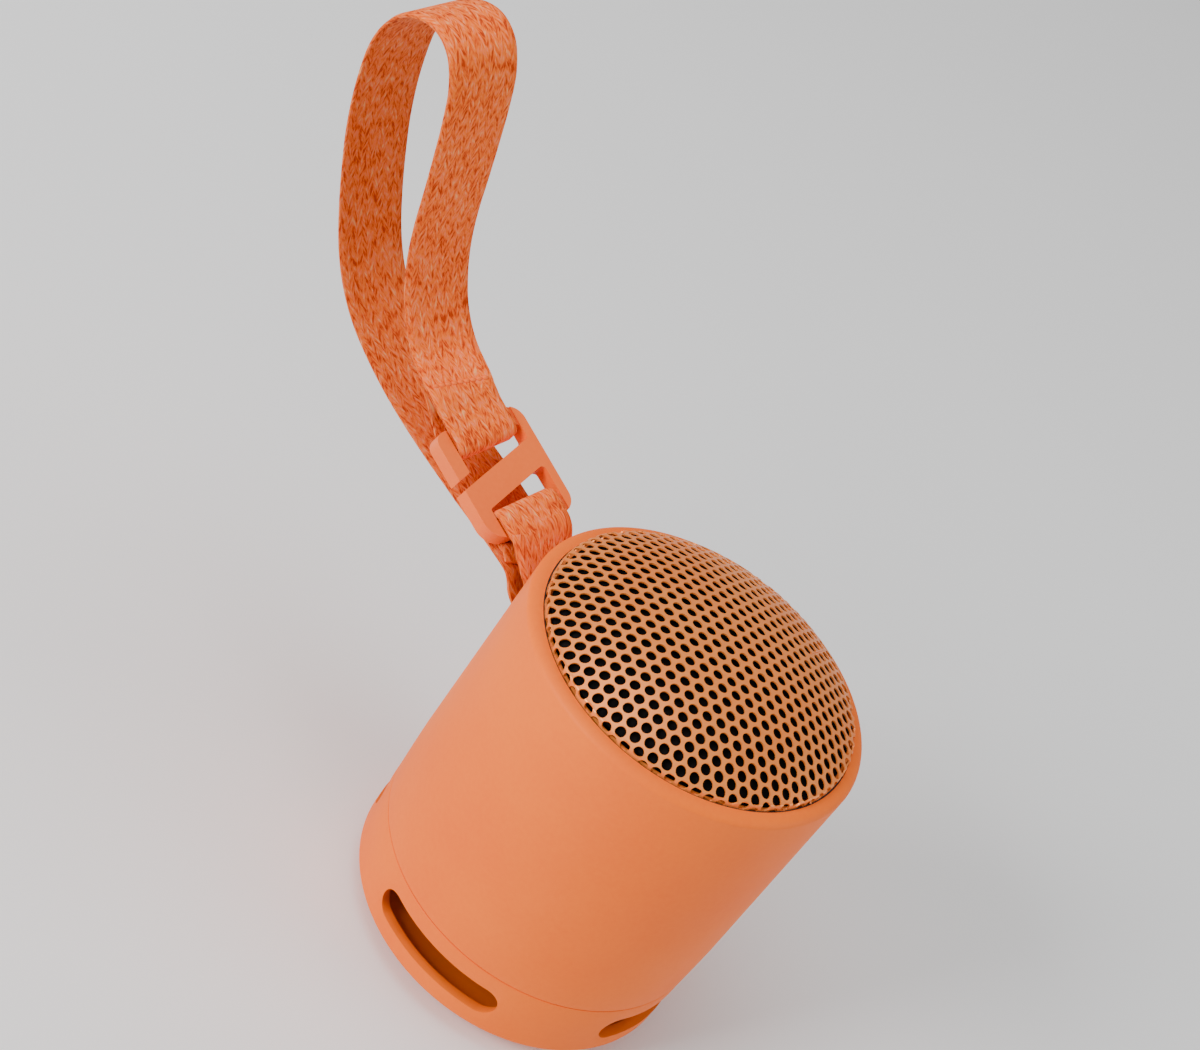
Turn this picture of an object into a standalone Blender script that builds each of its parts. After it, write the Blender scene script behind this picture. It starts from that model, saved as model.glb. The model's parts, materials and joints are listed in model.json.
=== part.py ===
"""Portable speaker: a round housing with a domed grille, a vented base and a webbing wrist strap.

Lengths are millimetres here and become metres as each mesh is made. The origin is the
centre of the foot's underside, +Z is up, the front vent faces -Y, the controls face +Y
and the strap leaves the housing at -X.
"""
import math

import bmesh
import bpy
from mathutils import Matrix, Vector
from mathutils.geometry import interpolate_bezier

MM = 0.001
GAP = 0.3                      # clearance between pieces that touch

# Housing
BODY_RADIUS = 38.0
BODY_HEIGHT = 95.0
WALL_INNER = 35.3
SEAM_Z = 20.4
SEAM_RADIUS = 37.65
TAPER_TOP_Z = 33.0
RIM_TOP_Z = 85.6
RIM_DROP = 1.7
RIM_INNER = 35.1
GRILLE_SEAT_Z = 83.9
GRILLE_SEAT_RADIUS = 33.0
SEAT_UNDER_Z = 82.3
WALL_TOP_Z = 80.5
LEDGE_RADIUS = 23.6
LEDGE_TOP_Z = 74.0
LEDGE_BOTTOM_Z = 71.5
OUTSIDE = 42.0                 # how far out the cutters for the wall reach
STEPS = 48                     # sides of the housing
INNER_STEPS = 28               # sides of the round pieces inside
SMALL_STEPS = 14               # sides of buttons and screws

# Base
BASE_RADIUS = 37.46
BASE_BOTTOM_Z = 2.15
BASE_CURVE_HEIGHT = 3.97
BASE_CURVE_INNER = 15.4
BASE_CURVE_POWER = 2.6
FOOT_RADIUS = 31.0
FOOT_TOP_Z = 4.0
FLOOR_TOP_Z = 6.5
SLOT_LOW_Z = 9.2
SLOT_HIGH_Z = 16.2
SLOT_HALF_WIDTH = 16.5
SLOT_INNER_Y = 28.0
BASE_INNER = 35.2
BOSS_RADIUS = 3.1
BOSS_CIRCLE = 28.0
BOSS_TOP_Z = 17.3
SCREW_HOLE_RADIUS = 1.4
SCREW_SEAT_Z = 6.2

# Grille
GRILLE_RADIUS = 34.75
GRILLE_EDGE_Z = 86.8
GRILLE_POWER = 2.3
GRILLE_THICKNESS = 0.8
CLOTH_RADIUS = 32.6

# Driver and passive radiator
FLANGE_RADIUS = 28.4
FLANGE_Z = 75.3
DRIVER_SCREW_CIRCLE = 26.9
DRIVER_HOLE_RADIUS = 1.0
POLE_RADIUS = 4.9
COIL_INNER = 5.2
COIL_OUTER = 5.6
PLATE_INNER = 5.9
MOTOR_RADIUS = 13.5
MOTOR_TOP_Z = 60.5
FRAME_LOW_Z = 17.6
FRAME_TOP_Z = 20.1
SPIGOT_TOP_Z = 23.0

# Controls on the rear wall
POCKET_Y = 36.2
PANEL_HALF_WIDTH = 5.0
PANEL_LOW_Z = 33.0
PANEL_HIGH_Z = 73.2
PANEL_RADIUS = 37.9
CAP_FACE_RADIUS = 37.6
BUTTON_NAMES = ("button_power", "button_pairing", "button_volume_down", "button_play", "button_volume_up")
BUTTON_FIRST_Z = 38.0
BUTTON_PITCH = 7.2
BUTTON_RADIUS = 2.7
STEM_RADIUS = 1.2
LIGHT_Z = 71.3
LIGHT_RADIUS = 0.7
USB_Z = 26.2
CAP_HALF_WIDTH = 7.2
CAP_HALF_HEIGHT = 3.3

# Battery
BATTERY_RADIUS = 9.2
BATTERY_HALF_LENGTH = 32.4
BATTERY_Y = -3.5
BATTERY_Z = 33.8

# Strap attachment
RECESS_HALF_WIDTH = 9.6
RECESS_LOW_Z = 61.5
RECESS_HIGH_Z = 80.5
RECESS_FLOOR_X = -30.8
RECESS_SIDE_WALL = 2.2
RECESS_END_WALL = 1.8
RECESS_ROOF = 1.6
RECESS_MOUTH_X = -36.0
PIN_RADIUS = 1.2
PIN_X = -34.0
PIN_Z = 69.8
PIN_HALF_LENGTH = 10.7
PIN_STEPS = 24

# Webbing
WEB_WIDTH = 15.4
WEB_THICKNESS = 1.2
WEB_OFFSET = GAP + WEB_THICKNESS / 2

# Hook buckle: its front face's centre, its direction across and its direction away from the housing
BUCKLE_CENTRE = Vector((-57.4, 3.4, 83.5))
BUCKLE_ACROSS = Vector((0.144, 0.965, 0.222)).normalized()
BUCKLE_AWAY = Vector((-0.960, 0.084, 0.260))
BUCKLE_AWAY = (BUCKLE_AWAY - BUCKLE_ACROSS * BUCKLE_AWAY.dot(BUCKLE_ACROSS)).normalized()
BUCKLE_UP = BUCKLE_ACROSS.cross(BUCKLE_AWAY)
BUCKLE_HALF_WIDTH = 11.1
BUCKLE_HALF_LENGTH = 12.7
BUCKLE_THICKNESS = 4.0
BUCKLE_SLOPE = 0.24            # lean of the middle bar
BUCKLE_SLOT_LEFT = -7.9
BUCKLE_SLOT_RIGHT = 9.1
BUCKLE_BAR_EDGE = 8.4          # inner edge of the two outer bars
BUCKLE_SLOT_WEB = 6.9          # middle line of the webbing in the slots beside them
BUCKLE_BAR_FRONT = -0.4
BUCKLE_BAR_BACK = -3.4

# Width direction of the webbing at the pin and round the hand loop
AT_PIN = Vector((0.0, 1.0, 0.0))
IN_LOOP = Vector((0.233, 0.934, 0.268)).normalized()

FINISHES = {
    "housing": ((1.0, 0.33, 0.10), 0.55, 0.0),
    "grille_metal": ((1.0, 0.42, 0.17), 0.35, 0.6),
    "black_cloth": ((0.02, 0.02, 0.02), 0.95, 0.0),
    "black_rubber": ((0.03, 0.03, 0.03), 0.85, 0.0),
    "orange_rubber": ((0.90, 0.27, 0.08), 0.75, 0.0),
    "webbing": ((0.95, 0.30, 0.09), 0.9, 0.0),
    "buckle_plastic": ((1.0, 0.34, 0.13), 0.45, 0.0),
    "steel": ((0.62, 0.62, 0.64), 0.3, 1.0),
    "ferrite": ((0.09, 0.09, 0.10), 0.7, 0.0),
    "inner_plastic": ((0.06, 0.06, 0.07), 0.6, 0.0),
    "paper": ((0.12, 0.12, 0.13), 0.85, 0.0),
    "copper": ((0.75, 0.38, 0.20), 0.35, 1.0),
    "board": ((0.03, 0.22, 0.10), 0.5, 0.0),
    "battery_wrap": ((0.10, 0.22, 0.50), 0.45, 0.0),
    "light": ((0.95, 0.95, 0.92), 0.2, 0.0),
}


# ---------------------------------------------------------------- helpers

def clear_scene():
    for item in list(bpy.data.objects):
        bpy.data.objects.remove(item, do_unlink=True)


def material(finish):
    found = bpy.data.materials.get(finish)
    if found:
        return found
    colour, roughness, metallic = FINISHES[finish]
    made = bpy.data.materials.new(finish)
    made.use_nodes = True
    shader = made.node_tree.nodes["Principled BSDF"]
    shader.inputs["Base Color"].default_value = (*colour, 1.0)
    shader.inputs["Roughness"].default_value = roughness
    shader.inputs["Metallic"].default_value = metallic
    return made


def new_object(name, mesh_data, finish, place=None):
    mesh = bpy.data.meshes.new(name)
    mesh_data.to_mesh(mesh)
    mesh_data.free()
    mesh.shade_smooth()
    mesh.set_sharp_from_angle(angle=math.radians(35))
    mesh.materials.append(material(finish))
    made = bpy.data.objects.new(name, mesh)
    if place is not None:
        made.matrix_world = place
    bpy.context.collection.objects.link(made)
    return made


def at(x, y, z):
    return Matrix.Translation(Vector((x, y, z)) * MM)


def facing_rear(x, z):
    """A frame whose +Z points along +Y, for pieces turned round a rearward axis."""
    return at(x, 0, z) @ Matrix.Rotation(math.radians(-90), 4, "X")


def turned(name, profile, finish, steps=STEPS, place=None):
    """A solid of revolution; a profile that starts on the axis also ends there."""
    bm = bmesh.new()
    points = [bm.verts.new((r * MM, 0, z * MM)) for r, z in profile]
    edges = [bm.edges.new(pair) for pair in zip(points, points[1:])]
    if profile[0][0] > 0:
        edges.append(bm.edges.new((points[-1], points[0])))
    bmesh.ops.spin(bm, geom=points + edges, cent=(0, 0, 0), axis=(0, 0, 1), angle=2 * math.pi,
                   steps=steps, use_merge=True)
    bmesh.ops.remove_doubles(bm, verts=bm.verts, dist=1e-6)
    bmesh.ops.recalc_face_normals(bm, faces=bm.faces)
    return new_object(name, bm, finish, place)


def ring(name, inner, outer, low, high, finish, steps=STEPS):
    return turned(name, [(inner, low), (outer, low), (outer, high), (inner, high)], finish, steps)


def rod(name, radius, low, high, finish, steps=24, place=None):
    return turned(name, [(0, low), (radius, low), (radius, high), (0, high)], finish, steps, place)


def block(name, low, high, finish, bevel=0.0, place=None):
    bm = bmesh.new()
    size = [(b - a) * MM for a, b in zip(low, high)]
    middle = [(a + b) / 2 * MM for a, b in zip(low, high)]
    bmesh.ops.create_cube(bm, size=1.0)
    bmesh.ops.scale(bm, vec=size, verts=bm.verts)
    bmesh.ops.translate(bm, vec=middle, verts=bm.verts)
    if bevel:
        bmesh.ops.bevel(bm, geom=bm.edges[:], offset=bevel * MM, offset_type="OFFSET", affect="EDGES",
                        segments=2, profile=0.5, material=-1)
    return new_object(name, bm, finish, place)


def prism(name, outline, low, high, finish, place=None):
    """An outline in the local XY plane, extruded from low to high along local Z."""
    bm = bmesh.new()
    face = bm.faces.new([bm.verts.new((x * MM, y * MM, low * MM)) for x, y in outline])
    grown = bmesh.ops.extrude_face_region(bm, geom=[face])["geom"]
    top = [item for item in grown if isinstance(item, bmesh.types.BMVert)]
    bmesh.ops.translate(bm, vec=(0, 0, (high - low) * MM), verts=top)
    bmesh.ops.recalc_face_normals(bm, faces=bm.faces)
    return new_object(name, bm, finish, place)


def arc(centre, radius, start, end, count):
    """Points along an arc, angles in degrees."""
    angles = [math.radians(start + (end - start) * i / count) for i in range(count + 1)]
    return [(centre[0] + radius * math.cos(a), centre[1] + radius * math.sin(a)) for a in angles]


def rounded_outline(corners, count=4):
    """A polygon given as (x, y, radius) corners, counter-clockwise, with each corner rounded."""
    points = []
    for i, (x, y, radius) in enumerate(corners):
        if radius == 0:
            points.append((x, y))
            continue
        here = Vector((x, y))
        back = (Vector(corners[i - 1][:2]) - here).normalized()
        ahead = (Vector(corners[(i + 1) % len(corners)][:2]) - here).normalized()
        half = back.angle(ahead) / 2
        centre = here + (back + ahead).normalized() * radius / math.sin(half)
        reach = radius / math.tan(half)
        first = here + back * reach - centre
        turn = first.angle_signed(here + ahead * reach - centre)
        for step in range(count + 1):
            spoke = first.copy()
            spoke.rotate(Matrix.Rotation(-turn * step / count, 2))
            points.append(tuple(centre + spoke))
    return points


def capsule(half_width, low, high, count=8):
    """An upright outline with round ends."""
    return (arc((0, high - half_width), half_width, 0, 180, count)
            + arc((0, low + half_width), half_width, 180, 360, count))


def tool(piece):
    piece.hide_render = True
    piece.display_type = "WIRE"
    return piece


def combine(piece, other, operation):
    step = piece.modifiers.new(other.name, "BOOLEAN")
    step.operation = operation
    step.solver = "EXACT"
    step.object = tool(other)


def cut(piece, *cutters):
    for cutter in cutters:
        combine(piece, cutter, "DIFFERENCE")


def add(piece, *others):
    for other in others:
        combine(piece, other, "UNION")


def around(radius, angle):
    return radius * math.cos(math.radians(angle)), radius * math.sin(math.radians(angle))


def button_heights():
    return [BUTTON_FIRST_Z + BUTTON_PITCH * i for i in range(len(BUTTON_NAMES))]


# ---------------------------------------------------------------- housing

def strap_recess(shell):
    """A closed pocket in the wall, with blind holes for the pin in its sides."""
    half_width = RECESS_HALF_WIDTH + RECESS_SIDE_WALL
    add(shell, block("recess_box", (RECESS_MOUTH_X, -half_width, RECESS_LOW_Z - RECESS_END_WALL),
                     (RECESS_FLOOR_X + RECESS_END_WALL, half_width, RECESS_HIGH_Z + RECESS_ROOF), "housing"))
    cut(shell,
        block("recess_cutter", (-OUTSIDE, -RECESS_HALF_WIDTH, RECESS_LOW_Z),
              (RECESS_FLOOR_X, RECESS_HALF_WIDTH, RECESS_HIGH_Z), "housing", bevel=1.2),
        rod("pin_hole_cutter", PIN_RADIUS + GAP, -PIN_HALF_LENGTH - GAP, PIN_HALF_LENGTH + GAP, "housing",
            place=facing_rear(PIN_X, PIN_Z)))


def rear_openings(shell):
    """Pockets and holes for the control panel, its buttons and light, and the charging socket."""
    rear = facing_rear(0, 0)
    pocket = [(x, -z) for x, z in capsule(PANEL_HALF_WIDTH + GAP, PANEL_LOW_Z - GAP, PANEL_HIGH_Z + GAP)]
    cut(shell, prism("panel_pocket_cutter", pocket, POCKET_Y, OUTSIDE, "housing", rear))
    for i, height in enumerate(button_heights()):
        cut(shell, rod(f"stem_hole_cutter_{i + 1}", STEM_RADIUS + 0.5, 33, 37, "housing", 16,
                       facing_rear(0, height)))
    cut(shell,
        block("cap_pocket_cutter", (-CAP_HALF_WIDTH - GAP, POCKET_Y, USB_Z - CAP_HALF_HEIGHT - GAP),
              (CAP_HALF_WIDTH + GAP, OUTSIDE, USB_Z + CAP_HALF_HEIGHT + GAP), "housing"),
        block("usb_cutter", (-4.8, 33, USB_Z - 1.95), (4.8, 37, USB_Z + 1.95), "housing"))


def build_shell():
    rim = [(RIM_INNER + (BODY_RADIUS - RIM_INNER) * math.sin(a), RIM_TOP_Z - RIM_DROP * (1 - math.cos(a)))
           for a in (math.radians(15 * i) for i in range(6, -1, -1))]
    profile = [(WALL_INNER, SEAM_Z + GAP / 2), (SEAM_RADIUS, SEAM_Z + GAP / 2), (BODY_RADIUS, TAPER_TOP_Z)]
    profile += rim
    profile += [(RIM_INNER, GRILLE_SEAT_Z), (GRILLE_SEAT_RADIUS, GRILLE_SEAT_Z), (GRILLE_SEAT_RADIUS, SEAT_UNDER_Z),
                (WALL_INNER, WALL_TOP_Z), (WALL_INNER, LEDGE_TOP_Z), (LEDGE_RADIUS, LEDGE_TOP_Z),
                (LEDGE_RADIUS, LEDGE_BOTTOM_Z), (WALL_INNER, LEDGE_BOTTOM_Z - 2)]
    shell = turned("shell", profile, "housing")
    strap_recess(shell)
    rear_openings(shell)
    for i in range(4):
        x, y = around(DRIVER_SCREW_CIRCLE, 45 + 90 * i)
        cut(shell, rod(f"ledge_hole_cutter_{i + 1}", DRIVER_HOLE_RADIUS, 72.6, 75, "housing", 12, at(x, y, 0)))


def base_outer_curve(count=4):
    """The soft curve under the base, from the foot's edge out to the wall."""
    reach = BASE_RADIUS - BASE_CURVE_INNER
    foot_share = (FOOT_RADIUS + GAP - BASE_CURVE_INNER) / reach
    first = math.acos(foot_share ** (BASE_CURVE_POWER / 2))
    points = []
    for i in range(count + 1):
        angle = first * (1 - i / count)
        r = BASE_CURVE_INNER + reach * math.cos(angle) ** (2 / BASE_CURVE_POWER)
        drop = BASE_CURVE_HEIGHT * math.sin(angle) ** (2 / BASE_CURVE_POWER)
        points.append((r, BASE_BOTTOM_Z + BASE_CURVE_HEIGHT - drop))
    return points


def build_base():
    floor_z = FOOT_TOP_Z + GAP
    profile = [(0, floor_z), (FOOT_RADIUS + GAP, floor_z)] + base_outer_curve()
    profile += [(SEAM_RADIUS - 0.05, SEAM_Z - GAP / 2), (BASE_INNER, SEAM_Z - GAP / 2), (BASE_INNER, 8.0), (33.5, FLOOR_TOP_Z),
                (0, FLOOR_TOP_Z)]
    cup = turned("base_cup", profile, "housing")
    lying = [(z, x) for x, z in capsule((SLOT_HIGH_Z - SLOT_LOW_Z) / 2, -SLOT_HALF_WIDTH, SLOT_HALF_WIDTH)]
    for i in range(4):
        turn = Matrix.Rotation(math.radians(90 * i), 4, "Z")
        place = turn @ facing_rear(0, (SLOT_LOW_Z + SLOT_HIGH_Z) / 2)
        cut(cup, prism(f"slot_cutter_{i + 1}", lying, SLOT_INNER_Y, OUTSIDE, "housing", place))
    for i in range(4):
        x, y = around(BOSS_CIRCLE, 45 + 90 * i)
        add(cup, rod(f"boss_{i + 1}", BOSS_RADIUS, FLOOR_TOP_Z - 1, BOSS_TOP_Z, "housing", 16, at(x, y, 0)))
        stepped = [(0, 3), (2.4, 3), (2.4, SCREW_SEAT_Z), (SCREW_HOLE_RADIUS, SCREW_SEAT_Z),
                   (SCREW_HOLE_RADIUS, 18), (0, 18)]
        cut(cup, turned(f"base_hole_cutter_{i + 1}", stepped, "housing", 16, at(x, y, 0)))
        head_z = SCREW_SEAT_Z - GAP
        screw = [(0, FOOT_TOP_Z + 2 * GAP), (2.0, FOOT_TOP_Z + 2 * GAP), (2.0, head_z), (1.1, head_z), (1.1, 19.2),
                 (0, 19.2)]
        turned(f"base_screw_{i + 1}", screw, "steel", SMALL_STEPS, at(x, y, 0))
    foot = [(0, 0), (FOOT_RADIUS - 1.2, 0), (FOOT_RADIUS - 0.35, 0.35), (FOOT_RADIUS, 1.2),
            (FOOT_RADIUS, FOOT_TOP_Z), (0, FOOT_TOP_Z)]
    turned("foot_pad", foot, "black_rubber", INNER_STEPS)
    ring("base_seal", 33.7, 35.0, FRAME_TOP_Z + GAP, FRAME_TOP_Z + GAP + 1.4, "black_rubber", INNER_STEPS)


def dome_height(radius):
    share = min(radius / 34.95, 1.0)
    return GRILLE_EDGE_Z + (BODY_HEIGHT - GRILLE_EDGE_Z) * (1 - share ** GRILLE_POWER) ** 0.935


def dome_points(reach, offset, count=7):
    """Points on the grille's dome from the axis out to a radius, lowered by an offset."""
    radii = [reach * math.sin(math.pi / 2 * i / count) for i in range(count + 1)]
    return [(r, dome_height(r) - offset) for r in radii]


def build_grille():
    inner = GRILLE_RADIUS - GRILLE_THICKNESS
    profile = dome_points(GRILLE_RADIUS - 0.3, 0)
    profile += [(GRILLE_RADIUS, GRILLE_EDGE_Z - 0.3), (GRILLE_RADIUS, GRILLE_SEAT_Z + GAP),
                (inner, GRILLE_SEAT_Z + GAP), (inner, GRILLE_EDGE_Z - 0.7)]
    profile += dome_points(inner - 0.6, GRILLE_THICKNESS)[::-1]
    turned("grille", profile, "grille_metal")
    cloth = dome_points(CLOTH_RADIUS, GRILLE_THICKNESS + GAP, 4)
    cloth += dome_points(CLOTH_RADIUS, GRILLE_THICKNESS + GAP + 0.4, 4)[::-1]
    turned("grille_cloth", cloth, "black_cloth", INNER_STEPS)


# ---------------------------------------------------------------- driver

def half_roll(inner, outer, base, height, lip, thickness, count=4):
    """A roll surround's cross-section with a flat lip on each side; a negative height hangs down."""
    middle = (inner + outer) / 2
    reach = (outer - inner) / 2
    side = math.copysign(1, height)
    top = []
    for i in range(count + 1):
        angle = math.pi * (1 - i / count)
        top.append((middle + reach * math.cos(angle), base + height * math.sin(angle)))
    under = [(middle + (r - middle) * (1 - thickness / reach), z - side * thickness) for r, z in top]
    low = base - side * thickness
    return [(inner - lip, low), (inner - lip, base)] + top + [(outer + lip, base), (outer + lip, low)] + \
        under[::-1]


def build_motor():
    turned("yoke", [(0, 48), (MOTOR_RADIUS, 48), (MOTOR_RADIUS, 50.2), (POLE_RADIUS, 50.2), (POLE_RADIUS, MOTOR_TOP_Z),
                    (0, MOTOR_TOP_Z)], "steel", INNER_STEPS)
    ring("magnet", 6.6, 14.5, 50.5, 57.9, "ferrite", INNER_STEPS)
    ring("top_plate", PLATE_INNER, MOTOR_RADIUS, 58.2, MOTOR_TOP_Z, "steel", INNER_STEPS)
    ring("voice_coil", COIL_INNER, COIL_OUTER, 56.0, 67.6, "copper", 20)


def build_basket():
    outline = [(6.6, 60.8), (14.6, 60.8), (15.6, 61.6), (22.9, 73.9), (22.9, FLANGE_Z), (FLANGE_RADIUS, FLANGE_Z),
               (FLANGE_RADIUS, 76.5), (21.7, 76.5), (21.7, 74.2), (14.6, 62.2), (6.6, 62.2)]
    basket = turned("driver_basket", outline, "inner_plastic", INNER_STEPS + 4)
    for i in range(4):
        turn = Matrix.Rotation(math.radians(90 * i), 4, "Z")
        window = rounded_outline([(14, -4.5, 1), (26, -8, 1), (26, 8, 1), (14, 4.5, 1)], 2)
        cut(basket, prism(f"window_cutter_{i + 1}", window, 63.6, 71.8, "inner_plastic", turn))
    for i in range(4):
        x, y = around(DRIVER_SCREW_CIRCLE, 45 + 90 * i)
        cut(basket, rod(f"flange_hole_cutter_{i + 1}", DRIVER_HOLE_RADIUS, 74, 78, "inner_plastic", 12, at(x, y, 0)))
        screw = [(0, 73), (0.7, 73), (0.7, 76.8), (1.4, 76.8), (1.4, 77.3), (1.0, 77.8), (0, 77.8)]
        turned(f"driver_screw_{i + 1}", screw, "steel", SMALL_STEPS, at(x, y, 0))
    gasket = ring("driver_gasket", 23.9, FLANGE_RADIUS, LEDGE_TOP_Z + GAP, FLANGE_Z - GAP, "black_rubber", INNER_STEPS)
    for i in range(4):
        x, y = around(DRIVER_SCREW_CIRCLE, 45 + 90 * i)
        cut(gasket, rod(f"gasket_hole_cutter_{i + 1}", DRIVER_HOLE_RADIUS, 73, 77, "black_rubber", 12, at(x, y, 0)))


def build_moving_cone():
    turned("driver_cone", [(PLATE_INNER, 66.6), (18.4, 75.7), (19.2, 75.7), (19.2, 76.2), (18.2, 76.2), (PLATE_INNER, 67.2)],
           "paper", INNER_STEPS)
    cap = [(6.6 * math.cos(math.radians(a)), 68.3 + 2.6 * math.sin(math.radians(a))) for a in range(90, -1, -30)]
    under = [(r * 0.93, z - 0.4) for r, z in cap]
    turned("dust_cap", cap + under[::-1], "inner_plastic", 20)
    turned("surround", half_roll(19.9, 23.4, 77.2, 1.9, 0.0, 0.4), "black_rubber", INNER_STEPS)
    wave = [(PLATE_INNER + i * 1.6, 64.9 + (0.45 if i % 2 else -0.45)) for i in range(6)]
    turned("spider", wave + [(r, z + 0.4) for r, z in wave[::-1]], "paper", 20)


# ---------------------------------------------------------------- passive radiator

def build_radiator():
    profile = [(24.6, 18.7), (27.0, 18.7), (27.0, FRAME_LOW_Z), (34.9, FRAME_LOW_Z), (34.9, FRAME_TOP_Z),
               (33.4, FRAME_TOP_Z), (33.4, SPIGOT_TOP_Z), (31.5, SPIGOT_TOP_Z), (31.5, FRAME_TOP_Z),
               (24.6, FRAME_TOP_Z)]
    frame = turned("radiator_frame", profile, "inner_plastic", INNER_STEPS + 4)
    for i in range(4):
        x, y = around(BOSS_CIRCLE, 45 + 90 * i)
        cut(frame, rod(f"frame_hole_cutter_{i + 1}", SCREW_HOLE_RADIUS, 16, 19.6, "inner_plastic", 12, at(x, y, 0)))
    turned("radiator_surround", half_roll(20.2, 24.2, 18.0, -2.0, 1.8, 0.4), "black_rubber", INNER_STEPS)
    turned("radiator_plate", [(0, 18.3), (18.1, 18.3), (18.1, 19.4), (0, 19.4)], "inner_plastic", INNER_STEPS)
    turned("radiator_weight", [(0, 16.6), (9.0, 16.6), (9.0, 18.0), (0, 18.0)], "steel", 20)


# ---------------------------------------------------------------- controls and power

def build_controls():
    rear = facing_rear(0, 0)
    outline = [(x, -z) for x, z in capsule(PANEL_HALF_WIDTH, PANEL_LOW_Z, PANEL_HIGH_Z)]
    panel = prism("control_panel", outline, POCKET_Y + GAP, 41, "orange_rubber", rear)
    combine(panel, rod("panel_face", PANEL_RADIUS, 20, 90, "orange_rubber", STEPS), "INTERSECT")
    for name, height in zip(BUTTON_NAMES, button_heights()):
        place = facing_rear(0, height)
        cut(panel, rod(f"{name}_cutter", BUTTON_RADIUS + GAP, 35, 42, "orange_rubber", SMALL_STEPS, place))
        cap = [(0, 33.5), (STEM_RADIUS, 33.5), (STEM_RADIUS, 36.8), (BUTTON_RADIUS, 36.8), (BUTTON_RADIUS, 37.8),
               (2.2, 38.1), (1.2, 38.2), (0, 38.22)]
        turned(name, cap, "orange_rubber", SMALL_STEPS, place)
    cut(panel, rod("light_cutter", LIGHT_RADIUS + GAP, 35, 42, "orange_rubber", 12, facing_rear(0, LIGHT_Z)))
    rod("light_pipe", LIGHT_RADIUS, POCKET_Y + GAP, PANEL_RADIUS, "light", 12, facing_rear(0, LIGHT_Z))
    block("button_board", (-7, 29, 34), (7, 30.2, 69), "board")
    for i, height in enumerate(button_heights()):
        build_switch(f"switch_{i + 1}", height)


def build_switch(name, height):
    bm = bmesh.new()
    bmesh.ops.create_cube(bm, size=1.0)
    bmesh.ops.scale(bm, vec=(4.2 * MM, 1.5 * MM, 4.2 * MM), verts=bm.verts)
    front = [face for face in bm.faces if face.normal.y > 0.9]
    bmesh.ops.inset_individual(bm, faces=front, thickness=1.2 * MM)
    bmesh.ops.translate(bm, vec=(0, 0.7 * MM, 0), verts=front[0].verts)
    bmesh.ops.translate(bm, vec=(0, 31.25 * MM, height * MM), verts=bm.verts)
    new_object(name, bm, "inner_plastic")


def build_socket():
    rear = facing_rear(0, 0)
    outer = rounded_outline([(-4.47, -1.6, 1.3), (4.47, -1.6, 1.3), (4.47, 1.6, 1.3), (-4.47, 1.6, 1.3)], 4)
    inner = rounded_outline([(-4.17, -1.3, 1.1), (4.17, -1.3, 1.1), (4.17, 1.3, 1.1), (-4.17, 1.3, 1.1)], 4)
    place = at(0, 0, USB_Z) @ rear
    port = prism("usb_port", outer, 28.6, 35.9, "steel", place)
    cut(port, prism("usb_mouth_cutter", inner, 29.3, 37, "steel", place))
    block("usb_tongue", (-3.3, 29.6, USB_Z - 0.35), (3.3, 34.6, USB_Z + 0.35), "inner_plastic")
    hinge = Vector((0, 37.3, USB_Z - CAP_HALF_HEIGHT))
    low = (-CAP_HALF_WIDTH, POCKET_Y + GAP - hinge.y, 0)
    high = (CAP_HALF_WIDTH, 41 - hinge.y, 2 * CAP_HALF_HEIGHT)
    flap = block("usb_cap", low, high, "orange_rubber", place=at(*hinge))
    combine(flap, rod("cap_face", CAP_FACE_RADIUS, 20, 33, "orange_rubber", STEPS), "INTERSECT")


def build_power():
    lying = at(0, BATTERY_Y, BATTERY_Z) @ Matrix.Rotation(math.radians(90), 4, "Y")
    turned("battery", [(0, -BATTERY_HALF_LENGTH), (BATTERY_RADIUS - 0.8, -BATTERY_HALF_LENGTH),
                       (BATTERY_RADIUS, -BATTERY_HALF_LENGTH + 0.8), (BATTERY_RADIUS, BATTERY_HALF_LENGTH - 0.8),
                       (BATTERY_RADIUS - 0.8, BATTERY_HALF_LENGTH), (0, BATTERY_HALF_LENGTH)],
           "battery_wrap", INNER_STEPS, lying)
    cradle = block("battery_cradle", (-32, -10, SPIGOT_TOP_Z + GAP), (32, 3, 30), "inner_plastic")
    cut(cradle, rod("battery_cutter", BATTERY_RADIUS + GAP, -40, 40, "inner_plastic", INNER_STEPS, lying))
    board = block("main_board", (-24, 12, SPIGOT_TOP_Z + 1), (24, 13.6, 47), "board")
    add(board, block("amplifier_chip", (-14, 13, 34), (-6, 15, 42), "board"),
        block("radio_module", (2, 13, 31), (16, 15.8, 43), "board"),
        block("lead_socket", (-20, 10.2, 36), (-13, 12.5, 40), "board"))
    lead("speaker_lead", [(16.4, 3.0, 58.0), (17.2, 5.0, 54.0), (17.6, 8.0, 49.0), (15.0, 9.6, 46.0),
                          (10.0, 10.4, 43.0), (8.0, 11.0, 41.0)])
    lead("battery_lead", [(-24.0, 2.0, 43.3), (-24.5, 5.0, 44.5), (-22.5, 8.0, 42.5), (-17.5, 9.0, 40.5),
                          (-16.5, 9.2, 38.5)])


def lead(name, route):
    """A two-core lead drawn as one round tube along a smooth route."""
    curve = bpy.data.curves.new(name, "CURVE")
    curve.dimensions = "3D"
    curve.bevel_depth = 0.6 * MM
    curve.bevel_resolution = 1
    curve.use_fill_caps = True
    points = smooth_route([Vector(point) for point in route], 4)
    line = curve.splines.new("POLY")
    line.points.add(len(points) - 1)
    for spot, point in zip(line.points, points):
        spot.co = (*(point * MM), 1.0)
    curve.materials.append(material("black_rubber"))
    bpy.context.collection.objects.link(bpy.data.objects.new(name, curve))


# ---------------------------------------------------------------- strap

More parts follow.
